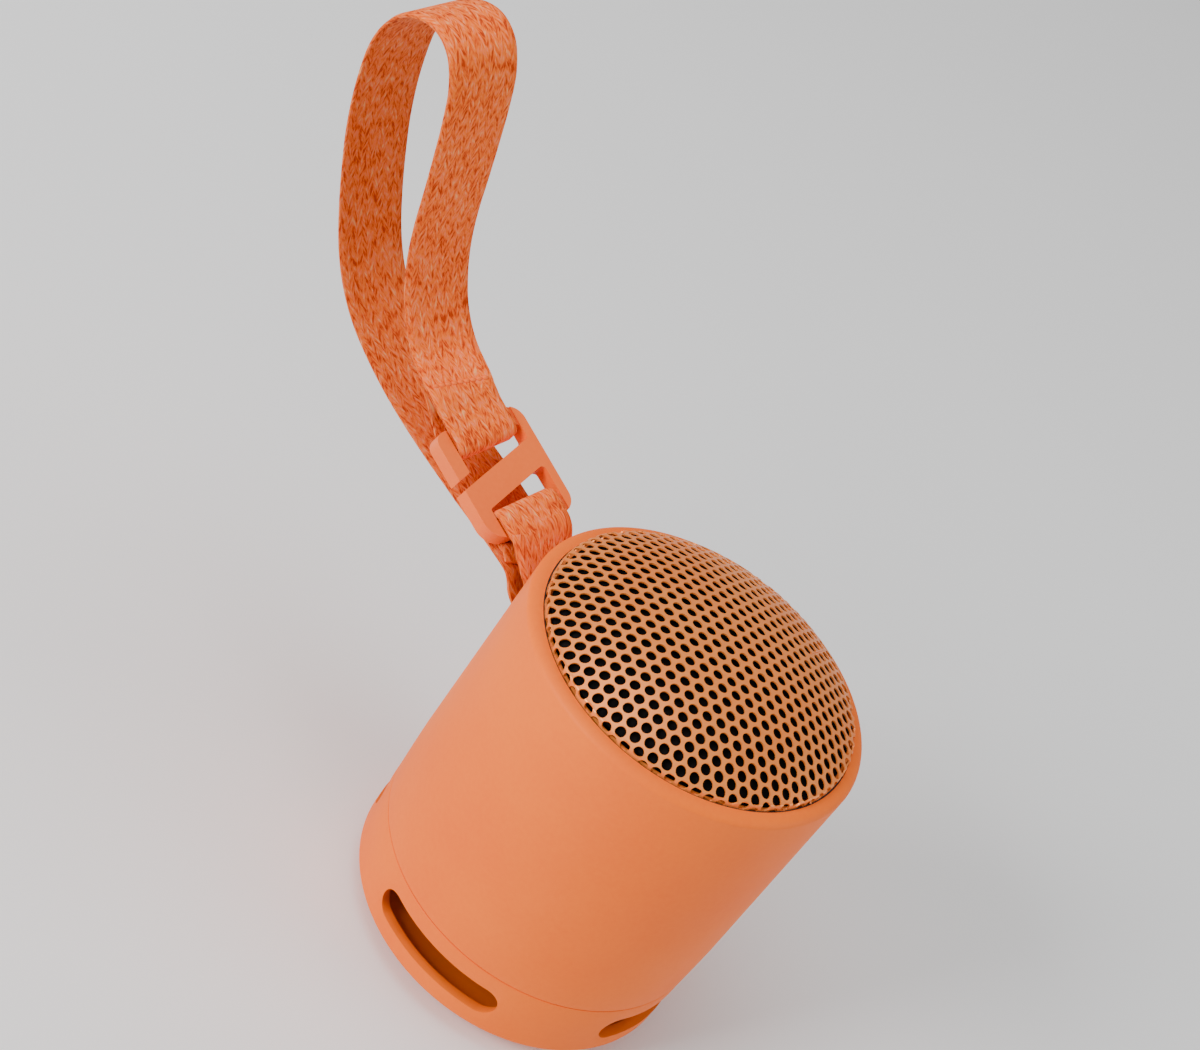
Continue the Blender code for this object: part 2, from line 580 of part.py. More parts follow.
def smooth_route(points, per_span):
    """Points along a smooth curve through the given ones."""
    route = []
    last = len(points) - 1
    for i in range(last):
        before = points[max(i - 1, 0)]
        after = points[min(i + 2, last)]
        out = points[i] + (points[i + 1] - before) / 6
        into = points[i + 1] - (after - points[i]) / 6
        span = interpolate_bezier(points[i], out, into, points[i + 1], per_span + 1)
        route += span[:-1]
    return route + [points[-1]]


def on_buckle(away, up, across=0.0):
    return BUCKLE_CENTRE + BUCKLE_AWAY * away + BUCKLE_UP * up + BUCKLE_ACROSS * across


def round_pin(angle):
    x, z = around(PIN_RADIUS + WEB_OFFSET, angle)
    return Vector((PIN_X + x, 0, PIN_Z + z))


def between(first, second, share):
    return (first * (1 - share) + second * share).normalized()


def in_loop(x, z):
    """A point of the hand loop, in the plane that the loop lies in."""
    y = -(IN_LOOP.x * (x + 37.5) + IN_LOOP.z * (z - 78)) / IN_LOOP.y
    return Vector((x, y, z))


def round_bar(side, order):
    """The webbing's turn round one of the buckle's outer bars: front, slot and back, or the reverse."""
    front = BUCKLE_BAR_FRONT + WEB_OFFSET
    back = BUCKLE_BAR_BACK - WEB_OFFSET
    slot = BUCKLE_SLOT_WEB
    turn = [(12.6, front), (9.6, front + 0.05), (8.2, front - 0.1), (slot + 0.2, front - 0.9),
            (slot, (front + back) / 2), (slot + 0.2, back + 0.9), (8.2, back + 0.1), (9.6, back - 0.05),
            (12.6, back - 0.3)]
    return [(on_buckle(side * away, up), BUCKLE_ACROSS) for away, up in turn[::order]]


# The hand loop's middle line, from the back run outwards, over the top and down to the buckle
LOOP_ROUTE = [(-60, 74.0), (-72, 74.2), (-81, 74.8), (-89, 76.0), (-97, 78.2), (-104, 81.4), (-110, 86.5),
              (-114.5, 93), (-118, 101), (-121, 110), (-123.6, 120), (-125, 131), (-124.8, 142), (-122, 150.5),
              (-117, 156.5), (-110.5, 159.5), (-105, 158), (-101.6, 152.5), (-100, 145), (-98.9, 136),
              (-98, 127), (-97.2, 118), (-95.8, 110), (-93.3, 102.5), (-89.5, 95.8), (-84, 91.0)]


def strap_route():
    """Middle line and width direction of the webbing, from one sewn end to the other."""
    route = [(Vector((-40.2, 0.9, 73.4)), between(AT_PIN, BUCKLE_ACROSS, 0.5)),
             (on_buckle(-14.8, -4.3), BUCKLE_ACROSS)]
    route += round_bar(-1, -1)
    route += [(on_buckle(-14.2, 0.3), BUCKLE_ACROSS),
              (Vector((-40.3, 1.0, 77.4)), between(AT_PIN, BUCKLE_ACROSS, 0.5))]
    route += [(round_pin(angle), AT_PIN) for angle in (48, 12, -24, -60, -96, -132)]
    route += [(Vector((-38.4, 0.5, 69.9)), between(AT_PIN, IN_LOOP, 0.1)),
              (Vector((-41.8, 1.6, 72.6)), between(AT_PIN, IN_LOOP, 0.25)),
              (Vector((-48.0, 3.6, 73.7)), between(AT_PIN, IN_LOOP, 0.6))]
    route += [(in_loop(x, z), IN_LOOP) for x, z in LOOP_ROUTE]
    route += [(on_buckle(19.5, 1.3), between(IN_LOOP, BUCKLE_ACROSS, 0.5)),
              (on_buckle(14.8, 0.6), BUCKLE_ACROSS)]
    route += round_bar(1, 1)
    route += [(on_buckle(15.2, -3.4), BUCKLE_ACROSS),
              (on_buckle(20.0, -0.6), between(IN_LOOP, BUCKLE_ACROSS, 0.5)),
              (in_loop(-83.6, 88.6), IN_LOOP)]
    return route


def smooth_directions(directions, per_span):
    spread = []
    for first, second in zip(directions, directions[1:]):
        spread += [between(first, second, i / per_span) for i in range(per_span)]
    return spread + [directions[-1]]


def build_webbing(per_span=2):
    """One length of webbing: a flat section carried along the route."""
    route = strap_route()
    middle = smooth_route([point for point, _ in route], per_span)
    across = smooth_directions([direction for _, direction in route], per_span)
    pin = Vector((PIN_X, 0, PIN_Z))
    bm = bmesh.new()
    rows = []
    for i, point in enumerate(middle):
        along = (middle[min(i + 1, len(middle) - 1)] - middle[max(i - 1, 0)]).normalized()
        wide = (across[i] - along * across[i].dot(along)).normalized()
        thick = along.cross(wide) * WEB_THICKNESS / 2
        half = wide * WEB_WIDTH / 2
        corners = [point - half - thick, point + half - thick, point + half + thick, point - half + thick]
        rows.append([bm.verts.new((corner - pin) * MM) for corner in corners])
    for row, following in zip(rows, rows[1:]):
        for k in range(4):
            bm.faces.new((row[k], row[(k + 1) % 4], following[(k + 1) % 4], following[k]))
    bm.faces.new(rows[0][::-1])
    bm.faces.new(rows[-1])
    bmesh.ops.recalc_face_normals(bm, faces=bm.faces)
    new_object("strap", bm, "webbing", at(*pin))


def buckle_place():
    turn = Matrix((BUCKLE_ACROSS, BUCKLE_AWAY, BUCKLE_UP)).transposed().to_4x4()
    return at(*BUCKLE_CENTRE) @ turn


def build_buckle():
    """A flat frame with a slanted middle bar, open at one side so that a loop hooks on."""
    wide = BUCKLE_HALF_WIDTH
    long = BUCKLE_HALF_LENGTH
    left = BUCKLE_SLOT_LEFT
    right = BUCKLE_SLOT_RIGHT
    place = buckle_place()
    outline = rounded_outline([(-wide, -long, 5.0), (wide, -long, 3.5), (wide, long, 4.0), (-wide, long, 2.5)], 5)
    buckle = prism("strap_buckle", outline, -BUCKLE_THICKNESS, 0, "buckle_plastic", place)
    edge = buckle.modifiers.new("edge", "BEVEL")
    edge.width = 0.7 * MM
    edge.segments = 2
    edge.limit_method = "ANGLE"
    edge.angle_limit = math.radians(60)
    slope = BUCKLE_SLOPE
    hook_slot = rounded_outline([(-14, 2.5 - 14 * slope, 0), (right, 2.5 + right * slope, 0.6),
                                 (right, BUCKLE_BAR_EDGE, 1.0), (left, BUCKLE_BAR_EDGE, 0.8),
                                 (left, 4.7 + left * slope, 0.4), (-14, 4.7 - 14 * slope, 0)], 3)
    fixed_slot = rounded_outline([(left, -BUCKLE_BAR_EDGE, 0.8), (right, -BUCKLE_BAR_EDGE, 1.0),
                                  (right, -3.9 + right * slope, 1.0), (left, -3.9 + left * slope, 0.4)], 3)
    cut(buckle, prism("hook_slot_cutter", hook_slot, -6, 2, "buckle_plastic", place),
        prism("fixed_slot_cutter", fixed_slot, -6, 2, "buckle_plastic", place))
    for name, low, high in (("hook_bar", BUCKLE_BAR_EDGE - 1, 15), ("fixed_bar", -15, 1 - BUCKLE_BAR_EDGE)):
        for side, bottom, top in (("front", BUCKLE_BAR_FRONT, 2), ("back", -6, BUCKLE_BAR_BACK)):
            cut(buckle, block(f"{name}_{side}_cutter", (left, low, bottom), (right, high, top), "buckle_plastic",
                              place=place))


def build_strap():
    rod("strap_pin", PIN_RADIUS, -PIN_HALF_LENGTH, PIN_HALF_LENGTH, "steel", PIN_STEPS, facing_rear(PIN_X, PIN_Z))
    build_webbing()
    build_buckle()


def main():
    clear_scene()
    build_shell()
    build_base()
    build_grille()
    build_motor()
    build_basket()
    build_moving_cone()
    build_radiator()
    build_controls()
    build_socket()
    build_power()
    build_strap()


main()
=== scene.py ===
"""A small round portable speaker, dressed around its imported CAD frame.

Lengths are millimetres in the classes below and become metres as each mesh is made.
+Z is up through the grille, the front vent faces -Y, the controls face +Y and the
wrist strap leaves the housing at -X.
"""

import json
import logging
import math
from dataclasses import dataclass, field
from enum import Enum
from typing import Sequence

import bmesh
import bpy
from mathutils import Matrix, Vector
from mathutils.geometry import interpolate_bezier

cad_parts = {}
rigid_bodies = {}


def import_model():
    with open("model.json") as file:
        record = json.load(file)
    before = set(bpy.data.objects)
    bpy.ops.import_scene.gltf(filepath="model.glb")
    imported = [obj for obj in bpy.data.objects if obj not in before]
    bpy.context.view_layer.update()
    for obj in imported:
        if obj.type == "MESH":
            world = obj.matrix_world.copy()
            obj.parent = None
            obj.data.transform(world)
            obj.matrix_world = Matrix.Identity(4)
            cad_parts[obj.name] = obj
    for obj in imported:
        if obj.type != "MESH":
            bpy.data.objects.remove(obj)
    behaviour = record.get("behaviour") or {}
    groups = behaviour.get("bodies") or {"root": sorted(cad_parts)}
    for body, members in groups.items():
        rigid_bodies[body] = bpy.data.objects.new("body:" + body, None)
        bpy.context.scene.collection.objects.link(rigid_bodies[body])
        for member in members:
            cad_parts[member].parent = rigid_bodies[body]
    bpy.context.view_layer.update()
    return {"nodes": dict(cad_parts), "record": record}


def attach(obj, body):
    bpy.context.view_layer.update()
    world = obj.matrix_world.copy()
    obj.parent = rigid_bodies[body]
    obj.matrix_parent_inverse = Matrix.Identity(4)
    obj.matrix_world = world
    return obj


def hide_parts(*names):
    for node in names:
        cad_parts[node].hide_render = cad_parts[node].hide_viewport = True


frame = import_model()

MM = 0.001
LOG = logging.getLogger("speaker")

Profile = Sequence[tuple[float, float]]
Outline = list[tuple[float, float]]
Colour = tuple[float, float, float]

# Edges sharper than these stay sharp, in degrees: on a new mesh, and on one whose edges were rounded
SMOOTH_ANGLE = 35.0
CREASE_ANGLE = 50.0
ROUND_END_SPANS = 24
BOX_BEVEL_SPANS = 6

# Places that more than one sub-assembly needs
PIN_X, PIN_Z = -34.0, 69.8
STRIP_HALF_WIDTH, STRIP_LOW, STRIP_HIGH = 5.0, 33.0, 73.2
FIRST_KEY_Z, KEY_PITCH = 38.0, 7.2


# ---------------------------------------------------------------- geometry helpers

def upwards_arc(centre: tuple[float, float], radius: float, start: float, end: float, count: int) -> Outline:
    """Points along an arc in a profile's plane.

    Args:
        centre: the arc's centre.
        radius: its radius.
        start: its first angle, in degrees.
        end: its last angle, in degrees.
        count: how many spans it has.

    Returns:
        The arc's points, both ends included.
    """
    angles = [math.radians(start + (end - start) * i / count) for i in range(count + 1)]
    return [(centre[0] + radius * math.cos(a), centre[1] + radius * math.sin(a)) for a in angles]


def facing_rear(x: float = 0.0, z: float = 0.0) -> Matrix:
    """A frame in metres whose +Z points along +Y, for pieces on the rear wall."""
    return Matrix.Translation(Vector((x, 0, z)) * MM) @ Matrix.Rotation(math.radians(-90), 4, "X")


def finish_mesh(name: str, shape: bmesh.types.BMesh, place: Matrix | None = None,
                smooth_angle: float = SMOOTH_ANGLE) -> bpy.types.Object:
    """Turns a finished bmesh into an object at the origin, its place in its mesh.

    Args:
        name: the piece's name.
        shape: the bmesh, in metres, which is freed.
        place: where the shape goes.
        smooth_angle: edges sharper than this stay sharp, in degrees.

    Returns:
        The new object.
    """
    if place is not None:
        bmesh.ops.transform(shape, matrix=place, verts=shape.verts)
    mesh = bpy.data.meshes.new(name)
    shape.to_mesh(mesh)
    shape.free()
    mesh.shade_smooth()
    mesh.set_sharp_from_angle(angle=math.radians(smooth_angle))
    piece = bpy.data.objects.new(name, mesh)
    bpy.context.scene.collection.objects.link(piece)
    return piece


def turned(name: str, profile: Profile, steps: int, place: Matrix | None = None) -> bpy.types.Object:
    """Spins a closed profile about the axis.

    Args:
        name: the piece's name.
        profile: (radius, height) points; one that starts on the axis also ends there.
        steps: how many sides the spin has.
        place: where the shape goes.

    Returns:
        The new object.
    """
    shape = bmesh.new()
    points = [shape.verts.new((r * MM, 0, z * MM)) for r, z in profile]
    edges = [shape.edges.new(pair) for pair in zip(points, points[1:])]
    if profile[0][0] > 0:
        edges.append(shape.edges.new((points[-1], points[0])))
    bmesh.ops.spin(shape, geom=points + edges, cent=(0, 0, 0), axis=(0, 0, 1), angle=2 * math.pi,
                   steps=steps, use_merge=True)
    bmesh.ops.remove_doubles(shape, verts=shape.verts, dist=1e-6)
    bmesh.ops.recalc_face_normals(shape, faces=shape.faces)
    return finish_mesh(name, shape, place)


def rod(name: str, radius: float, low: float, high: float, steps: int,
        place: Matrix | None = None) -> bpy.types.Object:
    """A plain round bar along its own Z."""
    return turned(name, [(0, low), (radius, low), (radius, high), (0, high)], steps, place)


def ring(name: str, inner: float, outer: float, low: float, high: float, steps: int,
         place: Matrix | None = None) -> bpy.types.Object:
    """A plain ring about its own Z."""
    return turned(name, [(inner, low), (outer, low), (outer, high), (inner, high)], steps, place)


def extruded(name: str, outline: Profile, low: float, high: float,
             place: Matrix | None = None) -> bpy.types.Object:
    """Extrudes an outline along its own Z.

    Args:
        name: the piece's name.
        outline: (x, y) points, counter-clockwise.
        low: the lower end.
        high: the upper end.
        place: where the shape goes.

    Returns:
        The new object.
    """
    shape = bmesh.new()
    face = shape.faces.new([shape.verts.new((x * MM, y * MM, low * MM)) for x, y in outline])
    grown = bmesh.ops.extrude_face_region(shape, geom=[face])["geom"]
    top = [item for item in grown if isinstance(item, bmesh.types.BMVert)]
    bmesh.ops.translate(shape, vec=(0, 0, (high - low) * MM), verts=top)
    bmesh.ops.recalc_face_normals(shape, faces=shape.faces)
    return finish_mesh(name, shape, place)


def box_shape(name: str, low: Sequence[float], high: Sequence[float], bevel: float = 0.0,
              place: Matrix | None = None) -> bpy.types.Object:
    """Makes a block.

    Args:
        name: the piece's name.
        low: the corner nearest minus infinity.
        high: the corner opposite.
        bevel: the rounding of every edge.
        place: where the shape goes.

    Returns:
        The new object.
    """
    shape = bmesh.new()
    bmesh.ops.create_cube(shape, size=1.0)
    bmesh.ops.scale(shape, vec=[(b - a) * MM for a, b in zip(low, high)], verts=shape.verts)
    bmesh.ops.translate(shape, vec=[(a + b) / 2 * MM for a, b in zip(low, high)], verts=shape.verts)
    if bevel:
        bmesh.ops.bevel(shape, geom=shape.edges[:], offset=bevel * MM, offset_type="OFFSET",
                        affect="EDGES", segments=BOX_BEVEL_SPANS, profile=0.5, material=-1)
    return finish_mesh(name, shape, place)


def rounded_outline(corners: Sequence[tuple[float, float, float]], count: int) -> Outline:
    """Rounds each corner of a counter-clockwise polygon.

    Args:
        corners: (x, y, radius) of each corner.
        count: how many spans each round has.

    Returns:
        The outline's points.
    """
    points: Outline = []
    for i, (x, y, radius) in enumerate(corners):
        if radius == 0:
            points.append((x, y))
            continue
        here = Vector((x, y))
        back = (Vector(corners[i - 1][:2]) - here).normalized()
        ahead = (Vector(corners[(i + 1) % len(corners)][:2]) - here).normalized()
        half = back.angle(ahead) / 2
        centre = here + (back + ahead).normalized() * radius / math.sin(half)
        reach = radius / math.tan(half)
        first = here + back * reach - centre
        turn = first.angle_signed(here + ahead * reach - centre)
        for step in range(count + 1):
            spoke = first.copy()
            spoke.rotate(Matrix.Rotation(-turn * step / count, 2))
            points.append(tuple(centre + spoke))
    return points


def capsule(half_width: float, low: float, high: float) -> Outline:
    """An upright outline with round ends."""
    return (upwards_arc((0, high - half_width), half_width, 0, 180, ROUND_END_SPANS)
            + upwards_arc((0, low + half_width), half_width, 180, 360, ROUND_END_SPANS))


def carve(piece: bpy.types.Object, tools: Sequence[bpy.types.Object],
          operation: str = "DIFFERENCE") -> None:
    """Applies a Boolean with each tool in turn and deletes the tools.

    Args:
        piece: the piece that is cut, or joined to.
        tools: closed meshes.
        operation: DIFFERENCE, UNION or INTERSECT.
    """
    for cutter in tools:
        step = piece.modifiers.new(cutter.name, "BOOLEAN")
        step.operation = operation
        step.solver = "EXACT"
        step.object = cutter
    apply_modifiers(piece)
    for cutter in tools:
        bpy.data.objects.remove(cutter, do_unlink=True)


def apply_modifiers(piece: bpy.types.Object) -> None:
    """Replaces a piece's mesh by the one its modifiers make.

    Args:
        piece: the piece, left with no modifiers.
    """
    graph = bpy.context.evaluated_depsgraph_get()
    made = bpy.data.meshes.new_from_object(piece.evaluated_get(graph))
    piece.modifiers.clear()
    piece.data = made


def soften(piece: bpy.types.Object, width: float, segments: int) -> None:
    """Rounds every sharp edge.

    Args:
        piece: the piece.
        width: how wide the rounding is.
        segments: how many spans it has.
    """
    edge = piece.modifiers.new("edge", "BEVEL")
    edge.width = width * MM
    edge.segments = segments
    edge.limit_method = "ANGLE"
    edge.angle_limit = math.radians(CREASE_ANGLE)
    apply_modifiers(piece)
    piece.data.shade_smooth()
    piece.data.set_sharp_from_angle(angle=math.radians(CREASE_ANGLE))


# ---------------------------------------------------------------- finishes

class Nodes:
    """A short way to write a material's node tree."""

    def __init__(self, name: str) -> None:
        """Starts a material with one shader.

        Args:
            name: the material's name.
        """
        self.material = bpy.data.materials.new(name)
        self.material.use_nodes = True
        self.tree = self.material.node_tree
        self.shader = self.tree.nodes["Principled BSDF"]
        self.place = self.tree.nodes.new("ShaderNodeTexCoord")

    def add(self, kind: str, values: dict[str, object] | None = None,
            **settings: object) -> bpy.types.Node:
        """Adds a node.

        Args:
            kind: its type, without the ShaderNode prefix.
            values: what its sockets hold, a socket to link from or a plain value.
            settings: the node's own properties.

        Returns:
            The new node.
        """
        node = self.tree.nodes.new("ShaderNode" + kind)
        for key, value in settings.items():
            setattr(node, key, value)
        for key, value in (values or {}).items():
            if isinstance(value, bpy.types.NodeSocket):
                self.tree.links.new(value, node.inputs[key])
            else:
                node.inputs[key].default_value = value
        return node

    def link(self, source: bpy.types.NodeSocket, target: str) -> None:
        """Joins a socket to one of the shader's."""
        self.tree.links.new(source, self.shader.inputs[target])

    def noise(self, scale: float, detail: float,
              source: bpy.types.NodeSocket | None = None) -> bpy.types.NodeSocket:
        """A noise value, read on Object coordinates unless a source is given."""
        place = source or self.place.outputs["Object"]
        return self.add("TexNoise", {"Vector": place, "Scale": scale, "Detail": detail}).outputs["Fac"]

    def bands(self, pitch: float, way: str, wobble: float) -> bpy.types.NodeSocket:
        """Even bands across a piece.

        Args:
            pitch: how far apart they are.
            way: the axis they follow, X, Y or Z.
            wobble: how much they wander.

        Returns:
            A value that rises and falls once for each band.
        """
        bands_to_scale = 20
        values = {"Vector": self.place.outputs["Object"], "Scale": 1 / (pitch * MM * bands_to_scale),
                  "Distortion": wobble, "Detail": 1.0}
        return self.add("TexWave", values, bands_direction=way).outputs["Fac"]

    def ramp(self, source: bpy.types.NodeSocket,
             stops: Sequence[tuple[float, Colour]]) -> bpy.types.NodeSocket:
        """Maps a value to colours.

        Args:
            source: the value.
            stops: each colour and the value where it stands, lowest first.

        Returns:
            The colour.
        """
        node = self.add("ValToRGB", {"Fac": source})
        band = node.color_ramp
        while len(band.elements) < len(stops):
            band.elements.new(0.5)
        for element, (where, colour) in zip(band.elements, stops):
            element.position = where
            element.color = (*colour, 1.0)
        return node.outputs["Color"]

    def stretch(self, source: bpy.types.NodeSocket, low: float, high: float) -> bpy.types.NodeSocket:
        """Maps 0 to 1 onto low to high."""
        return self.add("MapRange", {"Value": source, "To Min": low, "To Max": high}).outputs["Result"]

    def math(self, operation: str, first: object, second: object = 0.5) -> bpy.types.NodeSocket:
        """One step of arithmetic.

        Args:
            operation: which one.
            first: a socket or a plain number.
            second: the same, left out where the step takes one value.

        Returns:
            The result.
        """
        node = self.add("Math", operation=operation)
        for socket, value in zip(node.inputs, (first, second)):
            if isinstance(value, bpy.types.NodeSocket):
                self.tree.links.new(value, socket)
            else:
                socket.default_value = value
        return node.outputs["Value"]

    def blend(self, *shares: tuple[bpy.types.NodeSocket, float]) -> bpy.types.NodeSocket:
        """Adds several values up.

        Args:
            shares: each value and how much of it goes in.

        Returns:
            The sum.
        """
        parts = [self.math("MULTIPLY", value, share) for value, share in shares]
        total = parts[0]
        for part in parts[1:]:
            total = self.math("ADD", total, part)
        return total

    def bump(self, height: bpy.types.NodeSocket, strength: float, distance: float) -> None:
        """Gives the shader a bump from a height, its distance in millimetres."""
        node = self.add("Bump", {"Height": height, "Strength": strength, "Distance": distance * MM})
        self.link(node.outputs["Normal"], "Normal")


@dataclass(frozen=True)
class MouldedFinish:
    """Moulded plastic or rubber with a fine eroded texture and slow colour drift."""

    name: str
    pale: Colour
    deep: Colour
    roughness: float
    grain: float = 0.035
    grain_scale: float = 2600.0
    specular: float = 0.4

    def build(self) -> bpy.types.Material:
        """Makes the material.

        Returns:
            The new material.
        """
        nodes = Nodes(self.name)
        drift = nodes.noise(26, 3)
        speck = nodes.noise(900, 2)
        mixed = nodes.blend((drift, 0.75), (speck, 0.25))
        nodes.link(nodes.ramp(mixed, [(0.36, self.deep), (0.62, self.pale)]), "Base Color")
        rub = nodes.noise(70, 4)
        nodes.link(nodes.stretch(rub, self.roughness - 0.05, self.roughness + 0.06), "Roughness")
        nodes.bump(nodes.noise(self.grain_scale, 3), 0.35, self.grain)
        nodes.shader.inputs["Specular IOR Level"].default_value = self.specular
        return nodes.material


@dataclass(frozen=True)
class MetalFinish:
    """Painted, plated or bare metal with fine scratches or brushing."""

    name: str
    pale: Colour
    deep: Colour
    roughness: float
    metallic: float
    stretch: tuple[float, float, float] = (1.0, 1.0, 1.0)
    scale: float = 900.0
    coat: float = 0.0

    def build(self) -> bpy.types.Material:
        """Makes the material.

        Returns:
            The new material.
        """
        nodes = Nodes(self.name)
        grain = nodes.add("Mapping", {"Vector": nodes.place.outputs["Object"], "Scale": self.stretch})
        streak = nodes.noise(self.scale, 3, grain.outputs["Vector"])
        tone = nodes.blend((nodes.noise(40, 3), 0.6), (streak, 0.4))
        nodes.link(nodes.ramp(tone, [(0.35, self.deep), (0.65, self.pale)]), "Base Color")
        nodes.link(nodes.stretch(streak, self.roughness - 0.06, self.roughness + 0.1), "Roughness")
        nodes.bump(streak, 0.25, 0.01)
        nodes.shader.inputs["Metallic"].default_value = self.metallic
        if self.coat:
            nodes.shader.inputs["Coat Weight"].default_value = self.coat
            nodes.shader.inputs["Coat Roughness"].default_value = 0.25
        return nodes.material


@dataclass(frozen=True)
class ClothFinish:
    """A plain fine cloth or pressed pulp."""

    name: str
    pale: Colour
    deep: Colour
    pitch: float
    roughness: float = 0.92
    specular: float = 0.1

    def build(self) -> bpy.types.Material:
        """Makes the material.

        Returns:
            The new material.
        """
        nodes = Nodes(self.name)
        rows = [nodes.bands(self.pitch, way, 0.6) for way in ("X", "Y")]
        weave = nodes.math("MULTIPLY", rows[0], rows[1])
        tone = nodes.math("ADD", weave, nodes.math("MULTIPLY", nodes.noise(300, 3), 0.3))
        nodes.link(nodes.ramp(tone, [(0.1, self.deep), (0.9, self.pale)]), "Base Color")
        nodes.link(nodes.stretch(weave, self.roughness, self.roughness - 0.1), "Roughness")
        nodes.bump(weave, 0.5, 0.08)
        nodes.shader.inputs["Specular IOR Level"].default_value = self.specular
        return nodes.material


@dataclass(frozen=True)
class WebbingFinish:
    """Knitted webbing of flecked yarns; its pattern follows the piece's own UV map, in millimetres."""

    name: str
    dark: Colour = (0.50, 0.040, 0.002)
    base: Colour = (0.86, 0.105, 0.005)
    warm: Colour = (1.0, 0.20, 0.015)
    pink: Colour = (0.98, 0.175, 0.070)
    cream: Colour = (1.0, 0.40, 0.12)
    # How far the inner face's colour is darkened: painted shade for the shadow inside the loop
    inner_painted_shade: float = 0.74
    rib: float = 1.25
    slant: float = 0.27
    yarn_width: float = 0.5
    yarn_length: float = 2.1
    turn_over: float = 15.6

    def build(self) -> bpy.types.Material:
        """Makes the material: short yarns slanting one way and the other in turn, each with its own tint.

        Returns:
            The new material.
        """
        nodes = Nodes(self.name)
        flat = nodes.add("UVMap", uv_map="yarn").outputs["UV"]
        split = nodes.add("SeparateXYZ", {"Vector": flat})
        across, along = split.outputs["X"], split.outputs["Y"]
        wander = nodes.math("SUBTRACT", nodes.noise(0.12, 1, flat), 0.5)
        shifted = nodes.math("ADD", across, nodes.math("MULTIPLY", wander, 1.2))
        rib = nodes.math("DIVIDE", shifted, self.rib)
        column = nodes.math("FLOOR", rib)
        odd = nodes.math("FLOORED_MODULO", column, 2.0)
        way = nodes.math("SUBTRACT", nodes.math("MULTIPLY", odd, 2.0), 1.0)
        lean = nodes.math("MULTIPLY", nodes.math("MULTIPLY", way, self.slant), along)
        leaning = nodes.math("ADD", shifted, lean)
        yarn = nodes.add("CombineXYZ", {"X": nodes.math("DIVIDE", leaning, self.yarn_width),
                                        "Y": nodes.math("DIVIDE", along, self.yarn_length),
                                        "Z": nodes.math("MULTIPLY", column, 3.7)}).outputs["Vector"]
        fleck = nodes.noise(1.0, 1.5, yarn)
        strand = nodes.noise(3.4, 1.0, yarn)
        patch = nodes.noise(0.16, 2, flat)
        mixed = nodes.blend((fleck, 0.66), (strand, 0.18), (patch, 0.16))
        front = nodes.ramp(mixed, [(0.37, self.dark), (0.45, self.base), (0.52, self.warm),
                                   (0.58, self.pink), (0.66, self.cream)])
        # The inner face, past turn_over, is darkened: painted shade, not a different yarn colour
        inner = nodes.math("GREATER_THAN", across, self.turn_over)
        shade = nodes.add("HueSaturation", {"Value": nodes.stretch(inner, 1.0, self.inner_painted_shade),
                                            "Color": front}).outputs["Color"]
        nodes.link(shade, "Base Color")
        ridge = nodes.math("PINGPONG", rib, 0.5)
        nodes.bump(nodes.blend((strand, 0.9), (fleck, 0.7), (ridge, 0.5)), 0.5, 0.12)
        nodes.link(nodes.stretch(fleck, 0.95, 0.75), "Roughness")
        nodes.shader.inputs["Specular IOR Level"].default_value = 0.15
        nodes.shader.inputs["Sheen Weight"].default_value = 0.08
        nodes.shader.inputs["Sheen Roughness"].default_value = 0.45
        nodes.shader.inputs["Sheen Tint"].default_value = (1.0, 0.45, 0.2, 1.0)
        return nodes.material


@dataclass(frozen=True)
class WindingFinish:
    """Fine enamelled wire wound round the axis."""

    name: str
    pitch: float = 0.28

    def build(self) -> bpy.types.Material:
        """Makes the material.

        Returns:
            The new material.
        """
        nodes = Nodes(self.name)
        turns = nodes.bands(self.pitch, "Z", 0.0)
        nodes.link(nodes.ramp(turns, [(0.1, (0.22, 0.07, 0.03)), (0.8, (0.75, 0.33, 0.17))]), "Base Color")
        nodes.link(nodes.stretch(turns, 0.5, 0.28), "Roughness")
        nodes.bump(turns, 0.6, 0.08)
        nodes.shader.inputs["Metallic"].default_value = 1.0
        return nodes.material


Finish = MouldedFinish | MetalFinish | ClothFinish | WebbingFinish | WindingFinish

